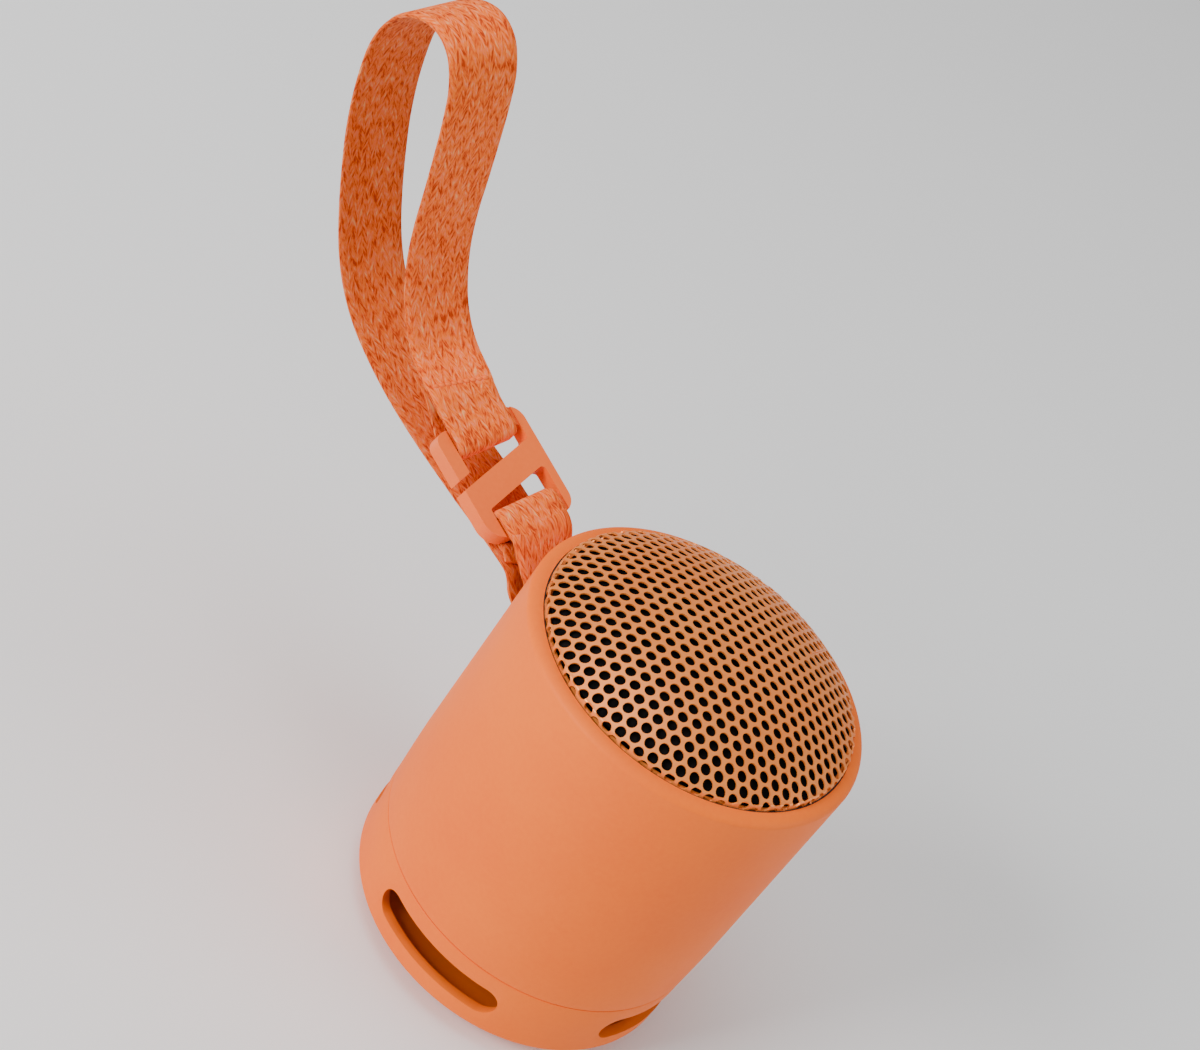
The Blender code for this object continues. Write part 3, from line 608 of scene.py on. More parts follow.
FINISHES: dict[str, Finish] = {
    "housing": MouldedFinish("housing", (1.0, 0.175, 0.004), (0.95, 0.145, 0.002), 0.58, specular=0.25),
    "grille_metal": MetalFinish("grille_metal", (1.0, 0.30, 0.055), (0.96, 0.23, 0.03), 0.36, 0.3, coat=0.12),
    "black_cloth": ClothFinish("black_cloth", (0.004, 0.0035, 0.004), (0.001, 0.001, 0.001), 0.45),
    "black_rubber": MouldedFinish("black_rubber", (0.035, 0.034, 0.034), (0.02, 0.02, 0.02), 0.8, 0.05),
    "orange_rubber": MouldedFinish("orange_rubber", (0.94, 0.15, 0.004), (0.88, 0.12, 0.002), 0.66, 0.03),
    "webbing": WebbingFinish("webbing"),
    "buckle_plastic": MouldedFinish("buckle_plastic", (1.0, 0.165, 0.012), (0.95, 0.135, 0.006), 0.46, 0.015,
                                    specular=0.45),
    "steel": MetalFinish("steel", (0.66, 0.66, 0.68), (0.50, 0.50, 0.52), 0.3, 1.0, (1.0, 1.0, 12.0)),
    "ferrite": MouldedFinish("ferrite", (0.11, 0.11, 0.12), (0.06, 0.06, 0.065), 0.72, 0.09, 1400.0),
    "inner_plastic": MouldedFinish("inner_plastic", (0.065, 0.065, 0.07), (0.04, 0.04, 0.045), 0.55, 0.03),
    "paper": ClothFinish("paper", (0.15, 0.15, 0.16), (0.06, 0.06, 0.065), 0.8),
    "copper": WindingFinish("copper"),
    "board": MouldedFinish("board", (0.035, 0.25, 0.11), (0.015, 0.15, 0.06), 0.4, 0.01, 500.0),
    "battery_wrap": MouldedFinish("battery_wrap", (0.10, 0.22, 0.50), (0.07, 0.15, 0.38), 0.35, 0.01),
    "light": MouldedFinish("light", (0.95, 0.95, 0.92), (0.85, 0.85, 0.82), 0.2, 0.005),
}


class Wardrobe:
    """Makes each finish once and puts it on pieces."""

    def __init__(self) -> None:
        """Starts with no finish made."""
        self.made: dict[str, bpy.types.Material] = {}

    def material(self, finish: str) -> bpy.types.Material:
        """Makes a slot's material when it is first asked for.

        Args:
            finish: the record's material slot.

        Returns:
            Its material.
        """
        if finish not in self.made:
            self.made[finish] = FINISHES[finish].build()
        return self.made[finish]

    def dress(self, piece: bpy.types.Object, finish: str, body: str,
              stands_for: Sequence[str] = ()) -> None:
        """Gives a new piece its finish, its body and the CAD nodes it stands for.

        Args:
            piece: the new piece.
            finish: the record's material slot.
            body: the CAD body it rides on.
            stands_for: the CAD nodes that it hides.
        """
        piece.data.materials.clear()
        piece.data.materials.append(self.material(finish))
        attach(piece, body)
        if stands_for:
            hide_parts(*stands_for)
        LOG.info("%s: %s on %s, %d vertices", piece.name, finish, body, len(piece.data.vertices))

    def repaint_frame(self) -> None:
        """Gives every CAD node that is carried over its slot's finish."""
        slots = {entry["node"]: entry["material_slot"] for entry in frame["record"]["subparts"]}
        for node, piece in frame["nodes"].items():
            piece.data.materials.clear()
            piece.data.materials.append(self.material(slots[node]))


# ---------------------------------------------------------------- housing

@dataclass
class Housing:
    """The upper shell with its soft rim, strap recess and rear openings, and the vented base."""

    radius: float = 38.0
    wall_inner: float = 35.3
    seam_z: float = 20.4
    seam_radius: float = 37.65
    seam_gap: float = 0.3
    seam_edge: float = 0.22
    taper: float = 0.12
    taper_middle: float = 28.0
    taper_top: float = 33.0
    wall_rings: tuple[float, float] = (50.0, 68.0)
    rim_top: float = 85.6
    rim_drop: float = 1.7
    rim_inner: float = 35.1
    rim_spans: int = 14
    seat_z: float = 83.9
    seat_bottom: float = 82.3
    seat_radius: float = 33.0
    seat_root: float = 80.5
    driver_deck_high: float = 74.0
    driver_deck_low: float = 71.5
    driver_deck_root: float = 69.5
    driver_opening: float = 23.6
    steps: int = 192
    recess_half_width: float = 9.6
    recess_low: float = 61.5
    recess_high: float = 80.5
    recess_floor: float = -30.8
    recess_round: float = 1.2
    recess_mouth: float = -36.0
    recess_box_half_width: float = 11.8
    recess_wall: float = 1.8
    recess_roof: float = 1.6
    pin_hole_radius: float = 1.5
    pin_hole_half_length: float = 11.0
    clearance: float = 0.3
    pocket_y: float = 36.2
    stem_hole_radius: float = 1.7
    inside_y: float = 33.0
    hole_end_y: float = 37.0
    cap_pocket_half_width: float = 7.5
    cap_pocket_low: float = 22.5
    cap_pocket_high: float = 29.8
    socket_half_width: float = 4.8
    socket_low: float = 24.25
    socket_high: float = 28.15
    outside: float = 42.0
    floor_z: float = 4.3
    floor_top: float = 6.5
    floor_radius: float = 33.5
    cup_inner: float = 35.2
    cup_inner_low: float = 8.0
    cup_shrink: float = 0.05
    waist_z: float = 13.0
    waist: float = 0.1
    boss_radius: float = 3.1
    boss_circle: float = 28.0
    boss_low: float = 5.5
    boss_high: float = 17.3
    base_radius: float = 37.46
    base_bottom: float = 2.15
    curve_height: float = 3.97
    curve_inner: float = 15.4
    curve_power: float = 2.6
    foot_gap_radius: float = 31.3
    slot_low: float = 9.2
    slot_high: float = 16.2
    slot_half_width: float = 16.5
    slot_inner: float = 28.0

    def rim(self) -> Outline:
        """Draws the soft rim, from the wall round to the grille's edge.

        Returns:
            Its points.
        """
        points = []
        for i in range(self.rim_spans, -1, -1):
            angle = math.radians(90 * i / self.rim_spans)
            points.append((self.rim_inner + (self.radius - self.rim_inner) * math.sin(angle),
                           self.rim_top - self.rim_drop * (1 - math.cos(angle))))
        return points

    def shell_profile(self) -> Outline:
        """Draws half of the shell's section, from the seam up the wall and back down its inside.

        Returns:
            Its points.
        """
        low = self.seam_z + self.seam_gap / 2
        corner = self.seam_radius - self.seam_edge
        profile = [(self.wall_inner, low), (corner, low)]
        profile += upwards_arc((corner, low + self.seam_edge), self.seam_edge, -60, 0, 3)
        profile += [(self.radius - self.taper, self.taper_middle), (self.radius, self.taper_top)]
        profile += [(self.radius, z) for z in self.wall_rings]
        profile += self.rim()
        profile += [(self.rim_inner, self.seat_z), (self.seat_radius, self.seat_z),
                    (self.seat_radius, self.seat_bottom), (self.wall_inner, self.seat_root)]
        profile += [(self.wall_inner, self.driver_deck_high), (self.driver_opening, self.driver_deck_high),
                    (self.driver_opening, self.driver_deck_low), (self.wall_inner, self.driver_deck_root)]
        return profile

    def build_shell(self) -> bpy.types.Object:
        """Makes the upper shell.

        Returns:
            The shell.
        """
        shell = turned("housing_shell", self.shell_profile(), self.steps)
        box_low = (self.recess_mouth, -self.recess_box_half_width, self.recess_low - self.recess_wall)
        box_high = (self.recess_floor + self.recess_wall, self.recess_box_half_width,
                    self.recess_high + self.recess_roof)
        carve(shell, [box_shape("recess_box", box_low, box_high)], "UNION")
        low = (-self.outside, -self.recess_half_width, self.recess_low)
        high = (self.recess_floor, self.recess_half_width, self.recess_high)
        tools = [box_shape("recess_tool", low, high, self.recess_round),
                 rod("pin_tool", self.pin_hole_radius, -self.pin_hole_half_length,
                     self.pin_hole_half_length, 32, facing_rear(PIN_X, PIN_Z))]
        carve(shell, tools + self.rear_tools())
        shell.data.set_sharp_from_angle(angle=math.radians(SMOOTH_ANGLE))
        return shell

    def rear_tools(self) -> list[bpy.types.Object]:
        """Makes the cutters for the control pocket, the button stems and the charging socket.

        Returns:
            The cutters.
        """
        pocket = capsule(STRIP_HALF_WIDTH + self.clearance, STRIP_LOW - self.clearance,
                         STRIP_HIGH + self.clearance)
        tools = [extruded("pocket_tool", [(x, -z) for x, z in pocket], self.pocket_y, self.outside,
                          facing_rear())]
        for i in range(len(Glyph)):
            tools.append(rod(f"stem_tool_{i + 1}", self.stem_hole_radius, self.inside_y, self.hole_end_y, 24,
                             facing_rear(0, FIRST_KEY_Z + KEY_PITCH * i)))
        tools.append(box_shape("cap_tool", (-self.cap_pocket_half_width, self.pocket_y, self.cap_pocket_low),
                               (self.cap_pocket_half_width, self.outside, self.cap_pocket_high)))
        tools.append(box_shape("socket_tool", (-self.socket_half_width, self.inside_y, self.socket_low),
                               (self.socket_half_width, self.hole_end_y, self.socket_high)))
        return tools

    def base_curve(self) -> Outline:
        """Draws the soft curve under the base, from the foot's edge out to the wall.

        Returns:
            Its points.
        """
        count = 18
        reach = self.base_radius - self.curve_inner
        share = (self.foot_gap_radius - self.curve_inner) / reach
        first = math.acos(share ** (self.curve_power / 2))
        points = []
        for i in range(count + 1):
            angle = first * (1 - i / count)
            r = self.curve_inner + reach * math.cos(angle) ** (2 / self.curve_power)
            drop = self.curve_height * math.sin(angle) ** (2 / self.curve_power)
            points.append((r, self.base_bottom + self.curve_height - drop))
        return points

    def cup_profile(self) -> Outline:
        """Draws half of the base cup's section, from the middle of its floor round and back.

        Returns:
            Its points.
        """
        high = self.seam_z - self.seam_gap / 2
        outer = self.seam_radius - self.cup_shrink
        edge = self.seam_edge
        profile = [(0, self.floor_z), (self.foot_gap_radius, self.floor_z)] + self.base_curve()
        profile += [(outer - self.waist, self.waist_z)]
        profile += upwards_arc((outer - edge, high - edge), edge, 0, 90, 4)
        profile += [(self.cup_inner, high), (self.cup_inner, self.cup_inner_low),
                    (self.floor_radius, self.floor_top), (0, self.floor_top)]
        return profile

    def build_base(self) -> bpy.types.Object:
        """Makes the base cup with its four vents and its screw bosses.

        Returns:
            The cup.
        """
        cup = turned("base_shell", self.cup_profile(), self.steps)
        upright = capsule((self.slot_high - self.slot_low) / 2, -self.slot_half_width, self.slot_half_width)
        lying = [(z, x) for x, z in upright][::-1]
        place = facing_rear(0, (self.slot_low + self.slot_high) / 2)
        quarters = [Matrix.Rotation(math.radians(90 * i), 4, "Z") for i in range(4)]
        carve(cup, [extruded(f"vent_tool_{i + 1}", lying, self.slot_inner, self.outside, quarter @ place)
                    for i, quarter in enumerate(quarters)])
        soften(cup, 0.35, 3)
        bosses = []
        for i in range(4):
            angle = math.radians(45 + 90 * i)
            spot = Vector((self.boss_circle * math.cos(angle), self.boss_circle * math.sin(angle), 0))
            bosses.append(rod(f"boss_{i + 1}", self.boss_radius, self.boss_low, self.boss_high, 32,
                              Matrix.Translation(spot * MM)))
        carve(cup, bosses, "UNION")
        return cup

    def dress(self, wardrobe: Wardrobe) -> None:
        """Makes the housing's pieces and places them on their body."""
        wardrobe.dress(self.build_shell(), "housing", "housing", ["shell"])
        wardrobe.dress(self.build_base(), "housing", "housing", ["base_cup"])


# ---------------------------------------------------------------- grille

@dataclass
class Grille:
    """The domed metal grille, perforated in a triangular pattern that its rim cuts through."""

    radius: float = 34.75
    edge_z: float = 86.8
    top_z: float = 95.0
    power: float = 2.3
    thickness: float = 0.8
    steps: int = 192
    dome_radius: float = 34.95
    shoulder: float = 0.935
    sheet: float = 0.35
    bend_start: float = 34.25
    bend_radius: float = 0.5
    turned_down: float = 1.6
    pitch: float = 3.083
    turn: float = 28.5
    shrink: float = 0.047
    shrink_radius: float = 35.0
    part_hole: float = 0.2
    hole_radius: float = 1.1
    hole_sides: int = 14
    skirt_bottom: float = 84.2
    skirt_top: float = 85.5
    # A dark ring down in the groove round the grille: painted shade for the groove's shadow
    shade_ring_bottom: float = 83.95
    shade_ring_top: float = 85.45
    shade_ring_near: float = 0.03
    shade_ring_far: float = 0.32
    cloth_reach: float = 33.6
    cloth_front: float = 1.1
    cloth_back: float = 1.5

    def height(self, radius: float) -> float:
        """The dome's height at a radius."""
        share = min(radius / self.dome_radius, 1.0)
        return self.edge_z + (self.top_z - self.edge_z) * (1 - share ** self.power) ** self.shoulder

    def dome(self, reach: float, offset: float) -> Outline:
        """Draws the dome from the axis out.

        Args:
            reach: the radius where it ends.
            offset: how far below the plate it lies.

        Returns:
            Its points.
        """
        count = 40
        radii = [reach * math.sin(math.pi / 2 * i / count) for i in range(count + 1)]
        return [(r, self.height(r) - offset) for r in radii]

    def hole_centres(self) -> Outline:
        """Lays the holes out in rows, drawn in a little towards the rim.

        Returns:
            Their middles, seen from above.
        """
        turn = math.radians(self.turn)
        spots = []
        reach = int(self.radius / self.pitch) + 3
        for row in range(-reach, reach + 1):
            for column in range(-reach * 2, reach * 2 + 1):
                x = self.pitch * (column + row / 2)
                y = self.pitch * row * math.sqrt(3) / 2
                flat = math.hypot(x, y)
                drawn = flat * (1 - self.shrink * (flat / self.shrink_radius) ** 2)
                if drawn > self.cut_edge() - self.part_hole:
                    continue
                scale = drawn / flat if flat else 1.0
                spots.append((scale * (x * math.cos(turn) - y * math.sin(turn)),
                              scale * (x * math.sin(turn) + y * math.cos(turn))))
        return spots

    def flat_sheet(self) -> bpy.types.Object:
        """Makes the blank: a flat disc ringed where it will bend, thickened so that holes can be cut.

        Returns:
            The blank.
        """
        bend_spans = 5
        rings = [self.bend_start + (self.bend_end() - self.bend_start) * i / bend_spans
                 for i in range(1, bend_spans + 1)]
        sheet = bmesh.new()
        bmesh.ops.create_circle(sheet, cap_ends=True, segments=self.steps, radius=self.bend_start * MM)
        rim, radius = sheet.edges[:], self.bend_start
        for ring_radius in rings + [self.cut_edge()]:
            grown = bmesh.ops.extrude_edge_only(sheet, edges=rim)["geom"]
            outer = [item for item in grown if isinstance(item, bmesh.types.BMVert)]
            bmesh.ops.scale(sheet, vec=(ring_radius / radius, ring_radius / radius, 1), verts=outer)
            rim = [item for item in grown if isinstance(item, bmesh.types.BMEdge)
                   and all(vert in outer for vert in item.verts)]
            radius = ring_radius
        bmesh.ops.recalc_face_normals(sheet, faces=sheet.faces)
        blank = finish_mesh("grille_disc", sheet)
        thick = blank.modifiers.new("thick", "SOLIDIFY")
        thick.thickness = 2 * MM
        thick.offset = 0
        apply_modifiers(blank)
        return blank

    def perforate(self, blank: bpy.types.Object) -> None:
        """Cuts the holes.

        Args:
            blank: the thickened sheet.
        """
        holes = bmesh.new()
        for x, y in self.hole_centres():
            bmesh.ops.create_cone(holes, cap_ends=True, segments=self.hole_sides,
                                  radius1=self.hole_radius * MM, radius2=self.hole_radius * MM,
                                  depth=4 * MM, matrix=Matrix.Translation(Vector((x, y, 0)) * MM))
        carve(blank, [finish_mesh("hole_tool", holes)])

    def build(self) -> bpy.types.Object:
        """Makes the plate flat with its holes, then raises it, turns its edge down and thickens it.

        Returns:
            The grille.
        """
        blank = self.flat_sheet()
        self.perforate(blank)
        shape = bmesh.new()
        shape.from_mesh(blank.data)
        bpy.data.objects.remove(blank, do_unlink=True)
        hidden = [face for face in shape.faces if face.normal.z < 0.9]
        bmesh.ops.delete(shape, geom=hidden, context="FACES")
        bmesh.ops.triangulate(shape, faces=shape.faces)
        for vert in shape.verts:
            flat = math.hypot(vert.co.x, vert.co.y) / MM
            radius, height = self.on_plate(flat)
            share = radius / flat if flat else 1.0
            vert.co = (vert.co.x * share, vert.co.y * share, height * MM)
        skin = finish_mesh("grille_plate", shape, smooth_angle=60)
        wall = skin.modifiers.new("wall", "SOLIDIFY")
        wall.thickness = self.sheet * MM
        wall.offset = -1
        apply_modifiers(skin)
        skin.data.shade_smooth()
        skin.data.set_sharp_from_angle(angle=math.radians(40))
        return skin

    def bend_end(self) -> float:
        """How far from the flat sheet's middle its edge has turned fully down."""
        return self.bend_start + self.bend_radius * math.pi / 2

    def cut_edge(self) -> float:
        """The flat sheet's own radius."""
        return self.bend_end() + self.turned_down

    def on_plate(self, flat: float) -> tuple[float, float]:
        """Where a point of the flat sheet ends up.

        Args:
            flat: its distance from the sheet's middle.

        Returns:
            Its radius and height on the formed grille.
        """
        if flat <= self.bend_start:
            return flat, self.height(flat)
        low = self.height(self.bend_start) - self.bend_radius
        angle = (flat - self.bend_start) / self.bend_radius
        if angle < math.pi / 2:
            return (self.bend_start + self.bend_radius * math.sin(angle),
                    low + self.bend_radius * math.cos(angle))
        return self.bend_start + self.bend_radius, low - (flat - self.bend_end())

    def build_skirt(self) -> bpy.types.Object:
        """Makes the plain ring inside the turned-down edge, which seats the plate on the housing.

        Returns:
            The ring.
        """
        outer = self.radius - self.sheet - 0.03
        inner = self.radius - self.thickness - 0.1
        return ring("grille_skirt", inner, outer, self.skirt_bottom, self.skirt_top, self.steps)

    def build_groove_shade(self) -> bpy.types.Object:
        """Makes a dark ring in the groove round the grille: painted shade standing in for the groove's
        shadow.
        """
        return ring("groove_shade", self.radius + self.shade_ring_near, self.radius + self.shade_ring_far,
                    self.shade_ring_bottom, self.shade_ring_top, self.steps)

    def build_cloth(self) -> bpy.types.Object:
        """Makes the dark acoustic cloth behind the holes."""
        front, back = (self.dome(self.cloth_reach, offset) for offset in (self.cloth_front, self.cloth_back))
        return turned("acoustic_cloth", front + back[::-1], 96)

    def dress(self, wardrobe: Wardrobe) -> None:
        """Makes the grille's pieces and places them on their body.

        Args:
            wardrobe: where the finishes come from.
        """
        wardrobe.dress(self.build(), "grille_metal", "housing", ["grille"])
        wardrobe.dress(self.build_skirt(), "grille_metal", "housing")
        # The dark ring in the groove is painted shade, given black rubber's finish
        wardrobe.dress(self.build_groove_shade(), "black_rubber", "housing")
        wardrobe.dress(self.build_cloth(), "black_cloth", "housing", ["grille_cloth"])


# ---------------------------------------------------------------- controls

class Glyph(Enum):
    """Plain marks that say what each button does."""

    POWER = "power"
    PAIRING = "pairing"
    MINUS = "volume_down"
    PLAY = "play"
    PLUS = "volume_up"


@dataclass
class Controls:
    """The rear control strip with its buttons and light, and the charging socket's flap."""

    back_y: float = 36.5
    above_y: float = 41.0
    low_z: float = 20.0
    panel_radius: float = 37.9
    key_hole_radius: float = 3.0
    light_hole_radius: float = 1.0
    light_z: float = 71.3
    stem_radius: float = 1.2
    stem_y: float = 33.5
    button_radius: float = 2.7
    button_back: float = 36.8
    button_edge: float = 0.3
    button_edge_y: float = 37.75
    button_crown: tuple[tuple[float, float], ...] = ((1.8, 38.16), (0.9, 38.21))
    button_top: float = 38.22
    mark_depth: float = 0.22
    mark_top: float = 39.5
    stroke: float = 0.36
    stroke_length: float = 1.9
    flap_low: float = 22.9
    flap_high: float = 29.5
    flap_half_width: float = 7.2
    flap_radius: float = 37.6

    def height(self, glyph: Glyph) -> float:
        """The height of a glyph's button."""
        return FIRST_KEY_Z + KEY_PITCH * list(Glyph).index(glyph)

    def bar(self, name: str, width: float, height: float, middle: float) -> bpy.types.Object:
        """A thin upright cutter for one stroke of a mark, in line with its button."""
        return box_shape(name, (-width / 2, self.button_top - self.mark_depth, middle - height / 2),
                         (width / 2, self.mark_top, middle + height / 2))

    def mark(self, glyph: Glyph, centre: float) -> list[bpy.types.Object]:
        """Makes the cutters for a button's mark.

        Args:
            glyph: which mark.
            centre: the button's height.

        Returns:
            The cutters.
        """
        place = facing_rear(0, centre)
        low, high = self.button_top - self.mark_depth, self.mark_top
        if glyph is Glyph.MINUS:
            return [self.bar("minus_tool", self.stroke_length, self.stroke, centre)]
        if glyph is Glyph.PLUS:
            return [self.bar("plus_tool_1", self.stroke_length, self.stroke, centre),
                    self.bar("plus_tool_2", self.stroke, self.stroke_length, centre)]
        if glyph is Glyph.PLAY:
            return [extruded("play_tool", [(0.75, 0.0), (-0.6, -0.75), (-0.6, 0.75)], low, high, place)]
        circle = ring("ring_tool", 0.72, 1.02, low, high, 32, place)
        if glyph is Glyph.POWER:
            return [circle, self.bar("power_tool", 0.32, 1.0, centre + 0.85)]
        return [circle, self.bar("pairing_tool", 0.4, 0.4, centre)]

    def build_button(self, glyph: Glyph) -> bpy.types.Object:
        """Makes one button, crowned and with its mark pressed in.

        Args:
            glyph: its mark.

        Returns:
            The button.
        """
        centre = self.height(glyph)
        profile = [(0, self.stem_y), (self.stem_radius, self.stem_y), (self.stem_radius, self.button_back),
                   (self.button_radius, self.button_back)]
        profile += upwards_arc((self.button_radius - self.button_edge, self.button_edge_y),
                               self.button_edge, 0, 80, 5)
        profile += [*self.button_crown, (0, self.button_top)]
        button = turned(f"key_{glyph.value}", profile, 48, facing_rear(0, centre))
        carve(button, self.mark(glyph, centre))
        return button

    def build_panel(self) -> bpy.types.Object:
        """Makes the control strip's face, curved with the wall.

        Returns:
            The strip.
        """
        outline = [(x, -z) for x, z in capsule(STRIP_HALF_WIDTH, STRIP_LOW, STRIP_HIGH)]
        panel = extruded("control_strip", outline, self.back_y, self.above_y, facing_rear())
        carve(panel, [rod("panel_face", self.panel_radius, self.low_z, 90, 192)], "INTERSECT")
        tools = [rod(f"key_tool_{glyph.value}", self.key_hole_radius, 35, 42, 48,
                     facing_rear(0, self.height(glyph))) for glyph in Glyph]
        tools.append(rod("light_tool", self.light_hole_radius, 35, 42, 24, facing_rear(0, self.light_z)))
        carve(panel, tools)
        soften(panel, 0.15, 2)
        return panel

    def build_flap(self) -> bpy.types.Object:
        """Makes the socket's flap, curved with the wall.

        Returns:
            The flap.
        """
        flap = box_shape("socket_flap", (-self.flap_half_width, self.back_y, self.flap_low),
                         (self.flap_half_width, self.above_y, self.flap_high))
        carve(flap, [rod("flap_face", self.flap_radius, self.low_z, 33, 192)], "INTERSECT")
        soften(flap, 0.25, 3)
        return flap

    def dress(self, wardrobe: Wardrobe) -> None:
        """Makes the controls and places each on its body.

        Args:
            wardrobe: where the finishes come from.
        """
        wardrobe.dress(self.build_panel(), "orange_rubber", "housing", ["control_panel"])
        for glyph in Glyph:
            node = f"button_{glyph.value}"
            wardrobe.dress(self.build_button(glyph), "orange_rubber", node, [node])
        wardrobe.dress(self.build_flap(), "orange_rubber", "cap_flap", ["usb_cap"])


# ---------------------------------------------------------------- foot

@dataclass
class Foot:
    """The rubber foot under the base, with shallow turned grooves."""

    radius: float = 31.0
    top_z: float = 4.0
    edge: float = 1.2
    grooves: tuple[float, ...] = (22.0, 25.0, 28.0)
    groove_depth: float = 0.35
    groove_mouth: float = 0.5
    groove_floor: float = 0.2

    def build(self) -> bpy.types.Object:
        """Makes the foot.

        Returns:
            The foot.
        """
        profile: Outline = [(0, 0)]
        for r in self.grooves:
            profile += [(r - self.groove_mouth, 0), (r - self.groove_floor, self.groove_depth),
                        (r + self.groove_floor, self.groove_depth), (r + self.groove_mouth, 0)]
        profile += [(self.radius - self.edge, 0)]
        profile += upwards_arc((self.radius - self.edge, self.edge), self.edge, -80, 0, 8)
        profile += [(self.radius, self.top_z), (0, self.top_z)]
        return turned("rubber_foot", profile, 144)

    def dress(self, wardrobe: Wardrobe) -> None:
        """Makes the foot and places it on its body."""
        wardrobe.dress(self.build(), "black_rubber", "housing", ["foot_pad"])


# ---------------------------------------------------------------- strap

def smooth_route(points: Sequence[Vector], per_span: int) -> list[Vector]:
    """Draws a smooth curve through points.

    Args:
        points: where it passes.
        per_span: how many steps lie between two of them.

    Returns:
        Points along the curve, both ends included.
    """
    route: list[Vector] = []
    last = len(points) - 1
    for i in range(last):
        before, after = points[max(i - 1, 0)], points[min(i + 2, last)]
        out = points[i] + (points[i + 1] - before) / 6
        into = points[i + 1] - (after - points[i]) / 6
        route += interpolate_bezier(points[i], out, into, points[i + 1], per_span + 1)[:-1]
    return route + [points[-1]]


def between(first: Vector, second: Vector, share: float) -> Vector:
    """A unit direction part of the way from one to another."""
    return (first * (1 - share) + second * share).normalized()


@dataclass
class Buckle:
    """The hook buckle: a flat frame with a slanted middle bar, open at one side."""

    centre: Vector = field(default_factory=lambda: Vector((-57.4, 3.4, 83.5)))
    across: Vector = field(default_factory=lambda: Vector((0.144, 0.965, 0.222)).normalized())
    leaning: Vector = field(default_factory=lambda: Vector((-0.960, 0.084, 0.260)))
    half_width: float = 11.1
    half_length: float = 12.7
    thickness: float = 4.0
    slot_left: float = -7.9
    slot_right: float = 9.1
    bar_edge: float = 8.4
    bar_front: float = -0.4
    bar_back: float = -3.4
    slope: float = 0.24
    bar_low: float = -3.9
    bar_high: float = 2.5
    hook_gap: float = 4.7
    open_side: float = -14.0
    edge: float = 0.55

    def __post_init__(self) -> None:
        """Squares up the two other directions."""
        self.away = (self.leaning - self.across * self.leaning.dot(self.across)).normalized()
        self.up = self.across.cross(self.away)

    def at(self, away: float, up: float) -> Vector:
        """A point on the buckle's middle line, given in its own directions."""
        return self.centre + self.away * away + self.up * up

    def place(self) -> Matrix:
        """The buckle's frame, in metres."""
        turn = Matrix((self.across, self.away, self.up)).transposed().to_4x4()
        return Matrix.Translation(self.centre * MM) @ turn

    def slots(self) -> tuple[Outline, Outline]:
        """Draws the two openings, on either side of the slanted middle bar.

        Returns:
            The hook's slot, open at one side, and the fixed slot.
        """
        left, right, out, slope = self.slot_left, self.slot_right, self.open_side, self.slope
        hook = [(out, self.bar_high + out * slope, 0), (right, self.bar_high + right * slope, 0.8),
                (right, self.bar_edge, 1.0), (left, self.bar_edge, 0.8),
                (left, self.hook_gap + left * slope, 0.5), (out, self.hook_gap + out * slope, 0)]
        fixed = [(left, -self.bar_edge, 0.8), (right, -self.bar_edge, 1.0),
                 (right, self.bar_low + right * slope, 1.0), (left, self.bar_low + left * slope, 0.5)]
        return rounded_outline(hook, 6), rounded_outline(fixed, 6)

    def build(self) -> bpy.types.Object:
        """Makes the buckle.

        Returns:
            The buckle.
        """
        place = self.place()
        wide, long = self.half_width, self.half_length
        outline = rounded_outline([(-wide, -long, 5.0), (wide, -long, 3.5), (wide, long, 4.0),
                                   (-wide, long, 2.5)], 12)
        buckle = extruded("hook_buckle", outline, -self.thickness, 0, place)
        tools = [extruded(name, slot, -6, 2, place)
                 for name, slot in zip(("hook_slot_tool", "fixed_slot_tool"), self.slots())]
        for name, low, high in (("hook", self.bar_edge - 1, 15), ("fixed", -15, 1 - self.bar_edge)):
            for side, bottom, top in (("front", self.bar_front, 2), ("back", -6, self.bar_back)):
                tools.append(box_shape(f"{name}_{side}_tool", (self.slot_left, low, bottom),
                                       (self.slot_right, high, top), place=place))
        carve(buckle, tools)
        soften(buckle, self.edge, 4)
        return buckle

    def dress(self, wardrobe: Wardrobe) -> None:
        """Makes the buckle and places it on its body."""
        wardrobe.dress(self.build(), "buckle_plastic", "buckle", ["strap_buckle"])


# The hand loop's middle line, from the back run outwards, over the top and down to the buckle
LOOP_ROUTE = [(-60, 74.0), (-72, 74.2), (-81, 74.8), (-89, 76.0), (-97, 78.2), (-104, 81.4),
              (-110, 86.5), (-114.5, 93), (-118, 101), (-121, 110), (-123.6, 120), (-125, 131),
              (-124.8, 142), (-122, 150.5),
              (-117, 156.5), (-110.5, 159.5), (-105, 158), (-101.6, 152.5), (-100, 145), (-98.9, 136),
              (-98, 127), (-97.2, 118), (-95.8, 110), (-93.3, 102.5), (-89.5, 95.8), (-84, 91.0)]


